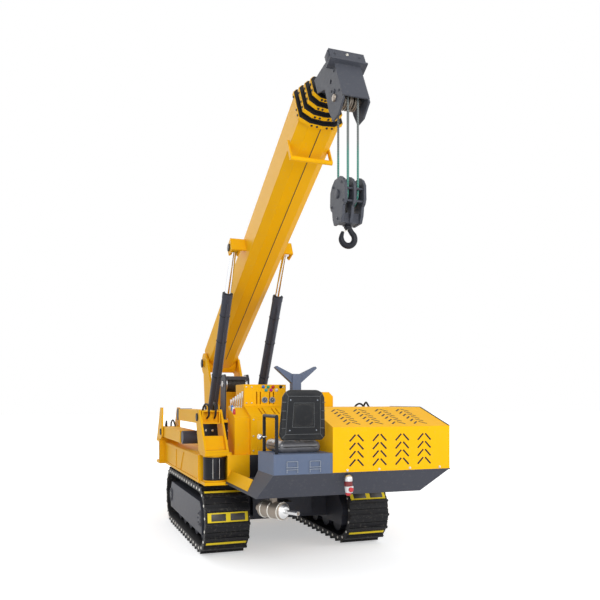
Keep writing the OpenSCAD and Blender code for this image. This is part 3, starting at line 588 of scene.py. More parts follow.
@dataclass
class Studio:
    """Floor, world, lamps and camera."""

    eye: Point = (-2.237, -7.3, 1.5)
    heading_deg: float = 20.0
    focal_px: float = 661.0
    horizon_px: float = 400.0
    photo_px: float = 600.0
    sensor_mm: float = 36.0
    sky: Colour = (0.95, 0.97, 1.0)
    sky_strength: float = 0.62

    def build(self) -> None:
        """Sets up the whole stage."""
        self._camera()
        self._world()
        self._floor()
        self._lamp("key_light", (-1.6, -10.2, 4.8), 430.0, 4.5)
        self._lamp("fill_light", (6.5, -6.5, 4.6), 210.0, 5.0)
        self._lamp("rim_light", (-3.0, 7.0, 7.0), 180.0, 5.0)
        bpy.context.scene.view_settings.view_transform = "Standard"

    def _camera(self) -> None:
        """Places the camera at the photograph's view."""
        data = bpy.data.cameras.new("camera")
        data.sensor_width = self.sensor_mm
        data.lens = self.focal_px * self.sensor_mm / self.photo_px
        data.shift_y = (self.horizon_px - self.photo_px / 2) / self.photo_px
        data.clip_end = 200.0
        cam = put("camera", data)
        cam.location = self.eye
        cam.rotation_euler = (math.pi / 2, 0.0, -math.radians(self.heading_deg))
        bpy.context.scene.camera = cam

    @staticmethod
    def _seen(graph: Graph) -> Socket:
        """Tells the rays that should see white from those that only carry light.

        Args:
            graph: The node tree that asks.

        Returns:
            A socket that is one for the first and zero for the others.
        """
        path = graph.add("LightPath", {}).outputs
        total = path["Is Camera Ray"]
        for name in ("Is Glossy Ray", "Is Transmission Ray"):
            total = graph.calc("MAXIMUM", total, path[name])
        return total

    def _world(self) -> None:
        """Makes a soft sky that the camera sees as white."""
        world = bpy.data.worlds.new("studio")
        bpy.context.scene.world = world
        graph = Graph(world)
        graph.nodes.clear()
        soft, white = (graph.add("Background", {"Color": rgba(colour), "Strength": strength}).outputs[0]
                       for colour, strength in ((self.sky, self.sky_strength), ((1.0, 1.0, 1.0), 1.0)))
        seen = graph.add("MixShader", {"Fac": self._seen(graph), 1: soft, 2: white}).outputs[0]
        graph.add("OutputWorld", {"Surface": seen})

    def _floor(self) -> None:
        """Makes a wide pale floor that keeps the shadow and grows white away from the crane."""
        mesh = bmesh.new()
        bmesh.ops.create_grid(mesh, x_segments=2, y_segments=2, size=60.0)
        data = bpy.data.meshes.new("floor")
        mesh.to_mesh(data)
        mesh.free()
        floor = put("floor", data)
        floor.location.z = -0.002
        mat = bpy.data.materials.new("floor_white")
        graph = Graph(mat)
        away = graph.add("VectorMath", {0: graph.place()}, operation="LENGTH").outputs["Value"]
        glow = graph.calc("MULTIPLY", self._seen(graph), graph.ramp(away, (3.0, 11.0), (0.42, 0.72)))
        graph.surface({"Base Color": (0.86, 0.86, 0.86, 1.0), "Roughness": 0.9,
                       "Emission Color": (1.0, 1.0, 1.0, 1.0), "Emission Strength": glow})
        data.materials.append(mat)

    @staticmethod
    def _lamp(name: str, place: Point, power: float, size: float) -> None:
        """Adds a soft square lamp that points at the crane.

        Args:
            name: The lamp's name.
            place: Where it hangs.
            power: Its power in watts.
            size: Its side length.
        """
        data = bpy.data.lights.new(name, "AREA")
        data.energy = power
        data.size = size
        lamp = put(name, data)
        lamp.location = place
        lamp.rotation_euler = (Vector((0, 0, 1.6)) - Vector(place)).to_track_quat("-Z", "Y").to_euler()


@dataclass
class Boom:
    """Trim of the boom: seam, rope, black bands between the collars, wipers, pin heads, collar bolts, sheaves and
    head trim.
    """

    half_width: float = 0.200
    bottom: float = -0.130
    top: float = 0.290
    length: float = 4.489
    collar_pitch: float = 0.072
    collar: float = 0.034
    step: float = 0.027
    trunnion: tuple[float, float] = (2.409, 0.150)
    trunnion_x: float = 0.376
    trunnion_r: float = 0.044
    foot_x: float = 0.265
    foot_r: float = 0.062
    pin_head: float = 0.014
    rope_rise: float = 0.016
    guide_x: float = 0.022
    guides: tuple[float, ...] = (0.9, 2.2, 3.6, 4.35)
    flange_r: float = 0.083
    groove_r: float = 0.078
    hub_r: float = 0.042
    axle_r: float = 0.030
    axle_half: float = 0.134

    def build(self) -> None:
        """Makes all the boom's trim."""
        self._seam()
        self._dark_bands()
        self._collar_bolts()
        self._rope_line()
        self._sheaves()
        self._head_trim()
        self._pins()

    def _outline(self, inset: float) -> list[tuple[float, float]]:
        """Gives a boom section's folded outline.

        Args:
            inset: How far it lies inside the base section's outline.

        Returns:
            Its corners as x and height, from the bottom's middle round the right side.
        """
        w, b, t = self.half_width - inset, self.bottom + inset, self.top - inset
        right = [(w * 0.58, b + 0.014), (w, b + 0.078), (w, t - 0.040), (w - 0.034, t)]
        return [(0.0, b), *right, *((-x, z) for x, z in reversed(right))]

    def _seam(self) -> None:
        """Makes the dark seam under the boom."""
        seam = Shape("boom_seam")
        up = self.bottom + 0.001
        seam.rod(on_boom(0, 0.35, up), on_boom(0, self.length - 0.04, up), 0.0045, sides=10)
        seam.finish(BLACK, "boom_base")

    def _dark_bands(self) -> None:
        """Makes the black bands that show between the collars, and the wipers on the collars' fronts."""
        turn = at_boom(0, 0, 0)
        # Black bands over each inner section, between its collar and the next one.
        for k in (1, 2, 3):
            band = Shape(f"dark_band_{k}")
            front = self.length + k * self.collar_pitch
            band.plate(self._outline(k * self.step - 0.004), -(front - self.collar + 0.004),
                       -(front - self.collar_pitch + 0.003), turn, 0.001)
            band.finish(HEAD_SIDE, f"boom_{k + 1}")
        for k, body in enumerate(COLLARED):
            wiper = Shape(f"wiper_{k + 1}")
            front = self.length + k * self.collar_pitch
            wiper.collar(self._outline(k * self.step - 0.010), self._outline((k + 1) * self.step - 0.003),
                         -front - 0.006, -front + 0.002, turn)
            wiper.finish(HEAD_SIDE, body)

    def _collar_bolts(self) -> None:
        """Makes the pad bolts round the collars."""
        for k, body in enumerate(COLLARED):
            bolts = Shape(f"collar_bolts_{k + 1}")
            inset = self.step * k - 0.015
            along = self.length + self.collar_pitch * k - 0.017
            w, low = self.half_width - inset, self.bottom + inset
            for side in (-1, 1):
                for up in (low + 0.12, low + 0.19, self.top - inset - 0.09):
                    bolts.bolt(on_boom(side * w, along, up), (side, 0, 0), 0.008)
                for share in (0.22, 0.46):
                    place = on_boom(side * w * share, along, low + 0.014 * share / 0.58)
                    bolts.bolt(place, on_boom(0, 0, -1.0) - Vector(FOOT_PIN), 0.008)
            bolts.finish(BLACK, body)

    def _rope_line(self) -> None:
        """Makes the hoist rope on the boom's top with its guides."""
        low, guides = Shape("rope_on_base"), Shape("rope_guides")
        up = self.top + self.rope_rise
        low.rod(on_boom(0, 0.30, up), on_boom(0, self.length - 0.02, up), ROPE_R, sides=10)
        for along in self.guides:
            for side in (-1, 1):
                guides.box((-0.006, -0.02, -0.02), (0.006, 0.02, 0.022), 0.002,
                           at_boom(side * self.guide_x, along, up - 0.004))
        low.finish(WINDINGS, "boom_base")
        guides.finish(YELLOW, "boom_base")

    def _sheaves(self) -> None:
        """Makes grooved head sheaves with hubs."""
        wheels = Shape("head_sheave_wheels")
        mid = on_boom(0, *HEAD_SHEAVE)
        for x in (-FALL_X, 0.0, FALL_X):
            at = mid + right(x)
            for side in (-1, 1):
                wheels.ring(at + right(side * 0.010), (1, 0, 0), self.flange_r, 0.005)
            wheels.rod(at - right(0.007), at + right(0.007), self.groove_r, sides=40)
            wheels.rod(at - right(0.014), at + right(0.014), self.hub_r, bevel=0.003)
        wheels.rod(mid - right(self.axle_half), mid + right(self.axle_half), self.axle_r, bevel=0.004)
        obj = wheels.finish(WORN_STEEL, "boom_5")
        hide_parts("head_sheaves")

    def _head_trim(self) -> None:
        """Makes the head's keeper plates, plate bolts and the top box's end caps."""
        trim = Shape("head_trim")
        along, up = HEAD_SHEAVE
        for side in (-1, 1):
            trim.box((-0.004, -0.034, -0.013), (0.004, 0.034, 0.013), 0.002,
                     at_boom(side * 0.123, along, up + 0.052))
            for d in (-0.022, 0.022):
                trim.bolt(on_boom(side * 0.126, along + d, up + 0.052), (side, 0, 0), 0.006)
            trim.box((-0.006, -0.036, -0.048), (0.006, 0.036, 0.048), 0.004,
                     at_boom(side * 0.163, along + 0.116, up + 0.332))
            for d, n in ((-0.02, 0.10), (0.09, 0.21), (0.09, -0.02)):
                trim.bolt(on_boom(side * 0.120, along + d, up + n), (side, 0, 0), 0.008)
        out = on_boom(0, 1.0, 0) - Vector(FOOT_PIN)
        for x in (-0.11, 0.11):
            trim.bolt(on_boom(x, along + 0.160, up + 0.335), out, 0.008)
        for x in (-0.085, 0.0, 0.085):
            trim.bolt(on_boom(x, along + 0.128, up + 0.270), out, 0.007)
        trim.finish(HEAD_GREY, "boom_5")
        stud = Shape("head_stud")
        stud.bolt(on_boom(0, along + 0.160, up + 0.345), out, 0.010)
        stud.finish(ZINC, "boom_5")

    def _pins(self) -> None:
        """Makes pin heads with keeper bolts at the foot and the trunnions."""
        pins = Shape("boom_pin_heads")
        for side in (-1, 1):
            x = side * self.trunnion_x
            at = on_boom(x, *self.trunnion)
            pins.rod(at, at + right(side * self.pin_head), self.trunnion_r, sides=28, bevel=0.003)
            pins.bolt(on_boom(x, self.trunnion[0], self.trunnion[1] + 0.050), (side, 0, 0), 0.007)
            foot = Vector((side * self.foot_x, *FOOT_PIN[1:]))
            pins.rod(foot, foot + right(side * self.pin_head), self.foot_r, sides=32, bevel=0.003)
        pins.finish(BLACK, "boom_base")


@dataclass
class Column:
    """Trim of the slewing column: winch rope, ring and base bolts, cylinder glands and pipes."""

    winch: Point = (0.0, 1.430, 1.715)
    drum_r: float = 0.092
    drum_half: float = 0.130
    ring_mid: Point = (0.0, 1.75, 1.09)
    ring_r: float = 0.430
    ring_bolts: int = 24
    base_top: float = 1.2403
    lift_x: float = 0.320
    gland_r: float = 0.052
    gland_at: float = 1.636
    clip_r: float = 0.064
    clips: tuple[float, ...] = (0.50, 1.00, 1.35)
    pipe_run: tuple[tuple[float, float], ...] = ((0.16, 0.060), (0.19, 0.080), (0.30, 0.083), (0.80, 0.083),
                                                 (1.40, 0.083), (1.50, 0.081), (1.53, 0.060))
    lift_foot: tuple[float, float] = (1.380, 1.390)
    lift_axis: Point = (0.0, -0.520153, 0.854073)

    def build(self) -> None:
        """Makes all the column's trim."""
        self._windings()
        self._ring_bolts()
        self._lift_trim()
        self._base_bolts()

    def _windings(self) -> None:
        """Makes the rope's turns on the drum."""
        turns = Shape("winch_windings")
        for i in range(int(self.drum_half / ROPE_R)):
            x = -self.drum_half + ROPE_R * (1 + 2 * i)
            turns.ring((x, *self.winch[1:]), (1, 0, 0), self.drum_r + ROPE_R * 0.8, ROPE_R, 36)
        turns.finish(WINDINGS, "winch_drum")

    def _ring_bolts(self) -> None:
        """Makes the bolt circle of the slewing ring."""
        bolts = Shape("slew_ring_bolts")
        for k in range(self.ring_bolts):
            a = math.tau * k / self.ring_bolts
            out = Vector((math.cos(a), math.sin(a), 0))
            bolts.bolt(Vector(self.ring_mid) + out * self.ring_r, out, 0.012)
        bolts.finish(ZINC)

    def _lift_trim(self) -> None:
        """Makes the lift cylinders' glands, foot pins and pipes."""
        axis = Vector(self.lift_axis)
        lower = Vector((0.0, axis.z, -axis.y)) * -1.0
        glands, pipes = Shape("lift_glands"), Shape("lift_pipes")
        for side in (-1, 1):
            foot = Vector((side * self.lift_x, *self.lift_foot))
            glands.ring(foot + axis * self.gland_at, axis, self.gland_r, 0.010)
            for k in range(8):
                a = math.tau * k / 8
                out = right(math.cos(a)) + lower * math.sin(a)
                glands.bolt(foot + axis * (self.gland_at + 0.004) + out * self.gland_r, axis, 0.006)
            for end in (-1, 1):
                pin = foot + right(end * 0.088)
                glands.rod(pin, pin + right(end * 0.014), 0.030, bevel=0.003)
            pipes.sweep([foot + axis * a + lower * n for a, n in self.pipe_run], 0.010)
            for a in self.clips:
                glands.ring(foot + axis * a, axis, self.clip_r, 0.004, 36)
        glands.finish(BLACK, "lift_barrels")
        pipes.finish(BARREL, "lift_barrels", SMOOTH_TUBE)

    def _base_bolts(self) -> None:
        """Makes the bolts of the column's base plate."""
        bolts = Shape("column_base_bolts")
        bolts.bolts((-0.36, -0.12, 0.12, 0.36), (1.34, 2.16), (self.base_top,), (0, 0, 1), 0.012)
        bolts.finish(ZINC, "turntable")


@dataclass
class Hoist:
    """Trim of the hook block and a forged hook with its latch."""

    middle: Point = (0.0, -2.30984, 3.190)
    half: float = 0.095
    bowl_z: float = 2.832
    bowl_r: float = 0.060
    wrap_r: float = 0.0973
    axle_r: float = 0.036
    bolt_places: tuple[tuple[float, float], ...] = ((-0.085, 0.075), (0.085, 0.075), (-0.118, -0.08), (0.118, -0.08),
                                                    (0.0, -0.20))
    shank_r: float = 0.024
    latch_turn: float = 62.0

    def build(self) -> None:
        """Makes the block's bolts and the hook."""
        bolts = Shape("block_bolts")
        _, y, z = self.middle
        for side in (-1, 1):
            for dy, dz in self.bolt_places:
                bolts.bolt((side * self.half, y + dy, z + dz), (side, 0, 0), 0.009)
            bolts.rod((side * self.half, y, z), (side * (self.half + 0.012), y, z), self.axle_r, sides=28,
                      bevel=0.003)
        bolts.finish(HEAD_GREY, "hook_block")
        self._wraps()
        self._hook()

    def _wraps(self) -> None:
        """Makes the rope's half turns on the head's and the block's sheaves."""
        low, high = Shape("rope_round_block"), Shape("rope_round_head")
        head = on_boom(0, *HEAD_SHEAVE)
        for x in (-FALL_X, FALL_X):
            for shape, mid, first in ((low, Vector(self.middle), math.pi), (high, head, 0.0)):
                turn = [first + math.pi * k / 12 for k in range(13)]
                shape.sweep([(x, mid.y + self.wrap_r * math.cos(a), mid.z + self.wrap_r * math.sin(a))
                             for a in turn], ROPE_R)
        low.finish(ROPE, "hook_block", SMOOTH_TUBE)
        high.finish(ROPE, "hook_block", SMOOTH_TUBE)

    def _hook(self) -> None:
        """Makes the forged hook: tapering bowl, shank, collar and sprung latch."""
        _, y, _ = self.middle
        z = self.bowl_z
        hook = Shape("forged_hook")
        hook.rod((0, y, z + 0.070), (0, y, z + 0.200), self.shank_r)
        hook.ring((0, y, z + 0.092), (0, 0, 1), 0.020, 0.014, 28)
        points = [(0, y, z + 0.105), (0.018, y, z + 0.074)]
        for k in range(11):
            a = math.radians(55 - k * 25)
            points.append((self.bowl_r * math.cos(a), y, z + self.bowl_r * math.sin(a)))
        points.append((-0.046, y, z + 0.052))
        hook.sweep(points, lambda t: 0.021 + 0.005 * math.sin(math.pi * t) - 0.010 * max(0.0, t - 0.85) * 5.0, 16)
        obj = hook.finish(BLACK, "hook", SMOOTH_TUBE)
        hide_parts("hook")
        latch = Shape("hook_latch")
        latch.box((-0.004, -0.012, -0.028), (0.004, 0.012, 0.028), 0.002,
                  Matrix.Translation((-0.020, y, z + 0.062)) @ Matrix.Rotation(math.radians(self.latch_turn), 4, "Y"))
        latch.finish(ZINC, "hook")


@dataclass
class DriversEnd:
    """Seat, drawers, hood trim, console, levers and what hangs at the tray."""

    tail: float = -2.345
    box_top: float = 1.068
    seat_mid: float = -0.3855
    panel_y: float = -0.890
    pad_half: float = 0.188
    back_lean: float = 5.5
    bail_half: float = 0.045
    gauge_z: float = 1.500
    gauge_r: float = 0.027
    button_r: float = 0.017
    lever_foot: Point = (-0.632, -0.850, 1.410)
    lever_pitch: float = 0.023
    levers: int = 6
    knob: Point = (-0.610, -1.945, 1.190)
    knob_r: float = 0.024
    filter_x: float = -0.020
    filter_r: float = 0.036
    voxel: float = 0.006
    pressure: float = 4.0
    sim_frames: int = 20
    hood_mid: float = 0.380
    hood_low: float = 0.903
    hood_edge: float = 1.278
    hood_top: float = 1.434
    hood_run: float = 0.495
    slot_half: tuple[float, float] = (0.0385, 0.0072)
    slot_pitch: tuple[float, float] = (0.212, 0.068)
    slot_turn: float = 46.0

    def build(self) -> None:
        """Makes every piece of the driver's end."""
        self._cushion()
        self._seat_back()
        self._drawers()
        self._hood()
        self._footwell()
        self._console()
        self._levers()
        self._rail_knob()
        self._filter()

    def _cushion(self) -> None:
        """Makes the stuffed cushion with its welt."""
        pad = Shape("seat_pad")
        low = (self.seat_mid - self.pad_half, self.tail + 0.114, self.box_top + 0.008)
        high = (self.seat_mid + self.pad_half, self.tail + 0.526, self.box_top + 0.088)
        pad.box(low, high, 0.026)
        cushion = pad.finish(VINYL, smooth=180.0)
        self._stuff(cushion, 0.014, self.box_top + 0.001)
        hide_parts("seat")
        self._welt(cushion)

    def _welt(self, cushion: bpy.types.Object) -> None:
        """Makes the sewn welt round the cushion's middle, on the stuffed shape itself.

        Args:
            cushion: The stuffed cushion.
        """
        mid = Vector((self.seat_mid, self.tail + 0.320, self.box_top + 0.048))
        band = [v.co - mid for v in cushion.data.vertices if abs(v.co.z - mid.z) < 0.006]
        path = []
        for k in range(33):
            a = math.tau * (k % 32) / 32
            near = max(band, key=lambda d: d.x * math.cos(a) / math.hypot(d.x, d.y)
                       + d.y * math.sin(a) / math.hypot(d.x, d.y))
            path.append(mid + Vector((near.x, near.y, 0.0)))
        welt = Shape("seat_welt")
        welt.sweep(path, 0.0045, 8)
        welt.finish(SHELL, smooth=SMOOTH_TUBE)

    def _seat_back(self) -> None:
        """Makes the moulded back shell with its embossed frames, and the pad on it."""
        lean = Matrix.Translation((self.seat_mid, self.tail + 0.105, self.box_top + 0.310)) @ \
            Matrix.Rotation(math.radians(self.back_lean), 4, "X")
        right = [(0.170, -0.200), (0.196, -0.165), (0.178, 0.150), (0.156, 0.188), (0.118, 0.208)]
        outline = [*right, *((-x, z) for x, z in reversed(right))]
        shell = Shape("seat_back_shell")
        shell.plate(outline, -0.060, -0.020, lean, 0.010)
        # The embossed frames and side ribs are real; their lighter grey finish is a painted highlight of the lit
        # edges.
        ribs = Shape("seat_back_ribs")
        for low_half, high_half, low, high, rim in ((0.150, 0.136, -0.150, 0.158, 0.0030),
                                                    (0.094, 0.086, -0.092, 0.104, 0.0026)):
            path = [(low_half, low), (high_half, high), (-high_half, high), (-low_half, low)]
            for (x0, z0), (x1, z1) in zip(path, [*path[1:], path[0]]):
                ribs.rod(lean @ Vector((x0, -0.061, z0)), lean @ Vector((x1, -0.061, z1)), rim, sides=8)
        for w in (-1, 1):
            for h in (-0.10, -0.03, 0.04, 0.11):
                ribs.rod(lean @ Vector((w * 0.152, -0.061, h)), lean @ Vector((w * 0.184, -0.059, h)), 0.0035,
                         sides=8)
            for h, x in ((-0.150, 0.150), (0.158, 0.136)):
                out = (0.030, -0.032) if h < 0 else (0.020, 0.030)
                end = lean @ Vector((w * (x + out[0]), -0.058, h + out[1]))
                ribs.rod(lean @ Vector((w * x, -0.061, h)), end, 0.0032, sides=8)
        ribs.finish(RIB_PAINTED_HIGHLIGHT)
        shell.box((-0.080, -0.066, -0.080), (0.080, -0.056, 0.092), 0.004, lean)
        rear = shell.finish(SHELL)
        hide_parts("seat")
        front = Shape("seat_back_pad")
        front.box((-0.158, -0.024, -0.172), (0.158, 0.030, 0.182), 0.024, lean)
        pad = front.finish(VINYL, smooth=180.0)
        self._stuff(pad, 0.010, self.box_top + 0.10)
        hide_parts("seat")
        bolts = Shape("seat_back_bolts")
        for place in product((-0.115, 0.115), (-0.060,), (-0.118, 0.128)):
            bolts.bolt(lean @ Vector(place), (0, -1, 0), 0.0045)
        bolts.finish(LATCH)

    def _stuff(self, obj: bpy.types.Object, cap: float, floor: float) -> None:
        """Swells a pad by cloth simulation with pressure inside and keeps the result.

        Args:
            obj: The pad.
            cap: The most that a point may move.
            floor: Height that no point sinks below.
        """
        remesh = obj.modifiers.new("voxels", "REMESH")
        remesh.mode = "VOXEL"
        remesh.voxel_size = self.voxel
        self._apply(obj)
        start = [v.co.copy() for v in obj.data.vertices]
        cloth = obj.modifiers.new("stuffing", "CLOTH")
        cloth.settings.use_pressure = True
        cloth.settings.uniform_pressure_force = self.pressure
        cloth.settings.effector_weights.gravity = 0.0
        cloth.collision_settings.use_collision = False
        for step in range(1, self.sim_frames + 1):
            bpy.context.scene.frame_set(step)
        self._apply(obj)
        bpy.context.scene.frame_set(1)
        for v, old in zip(obj.data.vertices, start):
            move = v.co - old
            if move.length > cap:
                v.co = old + move.normalized() * cap
            v.co.z = max(v.co.z, floor)
        smooth = obj.modifiers.new("soften", "SUBSURF")
        smooth.levels = 1
        smooth.render_levels = 1
        obj.data.shade_smooth()

    @staticmethod
    def _apply(obj: bpy.types.Object) -> None:
        """Puts the outcome of a piece's modifiers into its mesh.

        Args:
            obj: The piece.
        """
        graph = bpy.context.evaluated_depsgraph_get()
        done = bpy.data.meshes.new_from_object(obj.evaluated_get(graph), preserve_all_data_layers=True,
                                               depsgraph=graph)
        materials = list(obj.data.materials)
        obj.modifiers.clear()
        obj.data = done
        if not done.materials:
            for mat in materials:
                done.materials.append(mat)

    def _drawers(self) -> None:
        """Makes the two drawers' wire bails on the seat box, with their staples."""
        bails = Shape("drawer_bails")
        y = self.tail - 0.006
        for x in (-0.500, -0.305):
            ends = (x - self.bail_half, x + self.bail_half)
            for (z0, z1), end in product(((0.962, 1.010), (0.920, 0.945)), ends):
                bails.rod((end, y, z0), (end, y, z1), 0.0028, sides=10)
            for z in (0.962, 1.010, 0.945):
                bails.rod((ends[0], y, z), (ends[1], y, z), 0.0028, sides=10)
            for end, z in product(ends, (0.945, 0.962)):
                bails.rod((end, y - 0.003, z), (end, self.tail + 0.003, z), 0.0045, sides=10)
        bails.finish(LATCH)

    def _hood(self) -> None:
        """Makes the hood's bolts, rim, edge strip, and a dark sheet with dark inserts in its slots, which are painted
        shade of the hood's inside.
        """
        bolts = Shape("hood_bolts")
        level = (0.924,)
        bolts.bolts((-0.02, 0.27, 0.56, 0.85), (self.tail,), level, (0, -1, 0), 0.008)
        bolts.bolts((0.95,), (-2.25, -1.95, -1.65, -1.35), level, (1, 0, 0), 0.008)
        bolts.finish(ZINC)
        rim = Shape("hood_rim")
        low, high = self.hood_low - 0.004, self.hood_low + 0.005
        rim.box((-0.150, self.tail - 0.004, low), (0.955, self.tail + 0.004, high), 0.002)
        rim.box((0.946, self.tail - 0.004, low), (0.955, -1.250, high), 0.002)
        tilt = Matrix.Rotation(math.atan2(self.hood_top - self.hood_edge, self.hood_run), 4, "X")
        corner = Matrix.Translation((0, self.tail, self.hood_edge)) @ tilt
        rim.box((0.940, 0.0, -0.004), (0.953, 0.519, 0.004), 0.002, corner)
        rim.box((0.940, -1.850, self.hood_top - 0.004), (0.953, -1.250, self.hood_top + 0.004), 0.002)
        rim.finish(CHARCOAL)
        # Painted shade: a dark rubber sheet under the hood and dark inserts in the slots stand for the shadowed
        # inside seen through the slots.
        painted_shade = Shape("hood_painted_shade")
        painted_shade.box((-0.05, self.tail + 0.012, 0.930), (0.85, self.tail + 0.018, 1.240), 0.001)
        painted_shade.box((-0.05, 0.03, -0.020), (0.85, 0.49, -0.014), 0.001, corner)
        rear = Matrix.Translation((self.hood_mid, self.tail, 1.0855)) @ Matrix.Rotation(math.pi / 2, 4, "X")
        middle = (self.hood_edge + self.hood_top) / 2
        top = Matrix.Translation((self.hood_mid, self.tail + self.hood_run / 2, middle)) @ tilt
        (long, wide), (across, along) = self.slot_half, self.slot_pitch
        for face, rows in ((rear, 4), (top, 6)):
            for c, r, side in product(range(4), range(rows), (-1, 1)):
                at = Vector(((c - 1.5) * across + side * 0.036, (r - (rows - 1) / 2) * along, 0.0))
                turn = Matrix.Translation(at) @ Matrix.Rotation(math.radians(-self.slot_turn * side), 4, "Z")
                painted_shade.box((-long, -wide, -0.014), (long, wide, 0.0005), 0.0, face @ turn)
        painted_shade.finish(RUBBER)

    def _footwell(self) -> None:
        """Makes the footwell's yellow closing panel and sill, and a black plate beside them that is painted shade of
        the footwell's inside.
        """
        panels, painted_shade_gap = Shape("footwell_panels"), Shape("footwell_painted_shade_gap")
        panels.box((-0.735, DECK_REAR - 0.006, 0.754), (-0.515, DECK_REAR + 0.001, 0.974), 0.002)
        flare = Matrix.Translation((-0.755, 0, 0.705)) @ Matrix.Rotation(math.atan2(0.1, 0.2), 4, "Y")
        panels.box((-0.006, -1.905, 0.024), (0.0005, DECK_REAR, 0.134), 0.002, flare)
        panels.finish(YELLOW)
        # Painted shade: a thin black plate on the deck's rear wall stands for the shadowed footwell behind it.
        painted_shade_gap.box((-0.520, DECK_REAR + 0.001, 0.754), (-0.170, DECK_REAR + 0.007, 0.971), 0.001)
        painted_shade_gap.finish(BLACK)

    def _console(self) -> None:
        """Makes the gauges, buttons and panel bolts of the console."""
        rims, faces, needles = Shape("gauge_rims"), Shape("gauge_faces"), Shape("gauge_needles")
        for x in (-0.285, -0.205):
            at = Vector((x, self.panel_y, self.gauge_z))
            rims.ring(at - Vector((0, 0.005, 0)), (0, 1, 0), self.gauge_r, 0.0045, 32)
            faces.rod(at + Vector((0, 0.002, 0)), at - Vector((0, 0.005, 0)), self.gauge_r + 0.001, sides=32)
            needles.rod(at - Vector((0, 0.007, 0)), at + Vector((0.012, -0.007, 0.014)), 0.0015, sides=6)
        rims.finish(LATCH)
        faces.finish(DIAL)
        needles.finish(WHITE)
        buttons = {BLUE: (-0.300, 1.634), GREEN: (-0.248, 1.632), RED: (-0.198, 1.632), BLACK: (-0.115, 1.634),
                   TEAL: (-0.270, 1.600), PINK: (-0.218, 1.600), WHITE: (-0.160, 1.602)}
        for finish, (x, z) in buttons.items():
            button = Shape(f"console_button_{finish.name}")
            at = Vector((x, self.panel_y, z))
            button.rod(at + Vector((0, 0.002, 0)), at - Vector((0, 0.008, 0)), self.button_r, sides=20, bevel=0.002)
            button.ball(at - Vector((0, 0.012, 0)), 0.013)
            button.finish(finish)
        bolts = Shape("console_bolts")
        bolts.bolts((-0.475, -0.420, -0.085), (self.panel_y,), (1.630, 1.470), (0, -1, 0), 0.006)
        bolts.bolts((-0.475, -0.085), (DECK_REAR,), (1.010, 1.150, 1.310), (0, -1, 0), 0.006)
        bolts.finish(ZINC)
        door = Shape("console_door")
        door.box((-0.440, DECK_REAR - 0.003, 1.020), (-0.120, DECK_REAR + 0.002, 1.300), 0.002)
        door.finish(YELLOW)

    def _levers(self) -> None:
        """Makes the row of valve levers and fittings left of the console."""
        stems, tops = Shape("valve_stems"), Shape("valve_handles")
        for i in range(self.levers):
            foot = Vector(self.lever_foot) + right(i * self.lever_pitch)
            head = foot + Vector((0.004, -0.025, 0.095 + i * 0.016))
            stems.rod(foot, head, 0.006, sides=12)
            stems.rod(foot, foot + Vector((0, 0, 0.030)), 0.011, 0.009, sides=16)
            tops.rod(head - (head - foot) * 0.35, head, 0.0085, 0.0095, sides=14, bevel=0.003)
        stems.finish(ZINC)
        tops.finish(WHITE)
        fittings = {BLUE: (-0.632, -0.930, 1.392), RED: (-0.632, -1.010, 1.358), WHITE: (-0.632, -0.970, 1.375)}
        for finish, (x, y, z) in fittings.items():
            cap = Shape(f"valve_cap_{finish.name}")
            cap.rod((x, y, z), (x, y, z + 0.040), 0.014, 0.012, sides=18, bevel=0.003)
            cap.ball((x, y, z + 0.044), 0.013)
            cap.finish(finish)

    def _rail_knob(self) -> None:
        """Makes the round knob that is clamped to the grab rail."""
        knob = Shape("rail_knob")
        rail = Vector(self.knob)
        knob.ring(rail, (0, 0, 1), 0.017, 0.006, 24)
        knob.rod(rail + Vector((-0.010, 0, 0)), rail + Vector((-0.035, -0.005, 0)), 0.007, sides=12)
        knob.ball(rail + Vector((-0.040, -0.006, 0)), self.knob_r)
        knob.finish(STEEL)

    def _filter(self) -> None:
        """Makes the fuel filter on the tray's rear wall."""
        x, y, r = self.filter_x, self.tail - 0.018, self.filter_r
        head, body, bowl, tap = Shape("filter_head"), Shape("filter_body"), Shape("filter_bowl"), Shape("filter_tap")
        head.ball((x, y, 0.862), r, 0.8)
        head.rod((x, y, 0.862), (x, y, 0.838), r, sides=28)
        head.box((x - 0.020, y, 0.850), (x + 0.020, y + 0.060, 0.880), 0.003)
        body.rod((x, y, 0.842), (x, y, 0.795), r - 0.002, sides=28, bevel=0.004)
        bowl.rod((x + 0.006, y, 0.798), (x + 0.006, y, 0.742), 0.037, 0.030, sides=28, bevel=0.006)
        tap.rod((x, y, 0.745), (x, y, 0.720), 0.026, 0.018, bevel=0.004)
        tap.rod((x + 0.006, y - 0.030, 0.772), (x + 0.006, y - 0.048, 0.772), 0.020, sides=20, bevel=0.003)
        head.finish(STEEL)
        body.finish(FILTER_RED)
        bowl.finish(WHITE)
        tap.finish(RED)


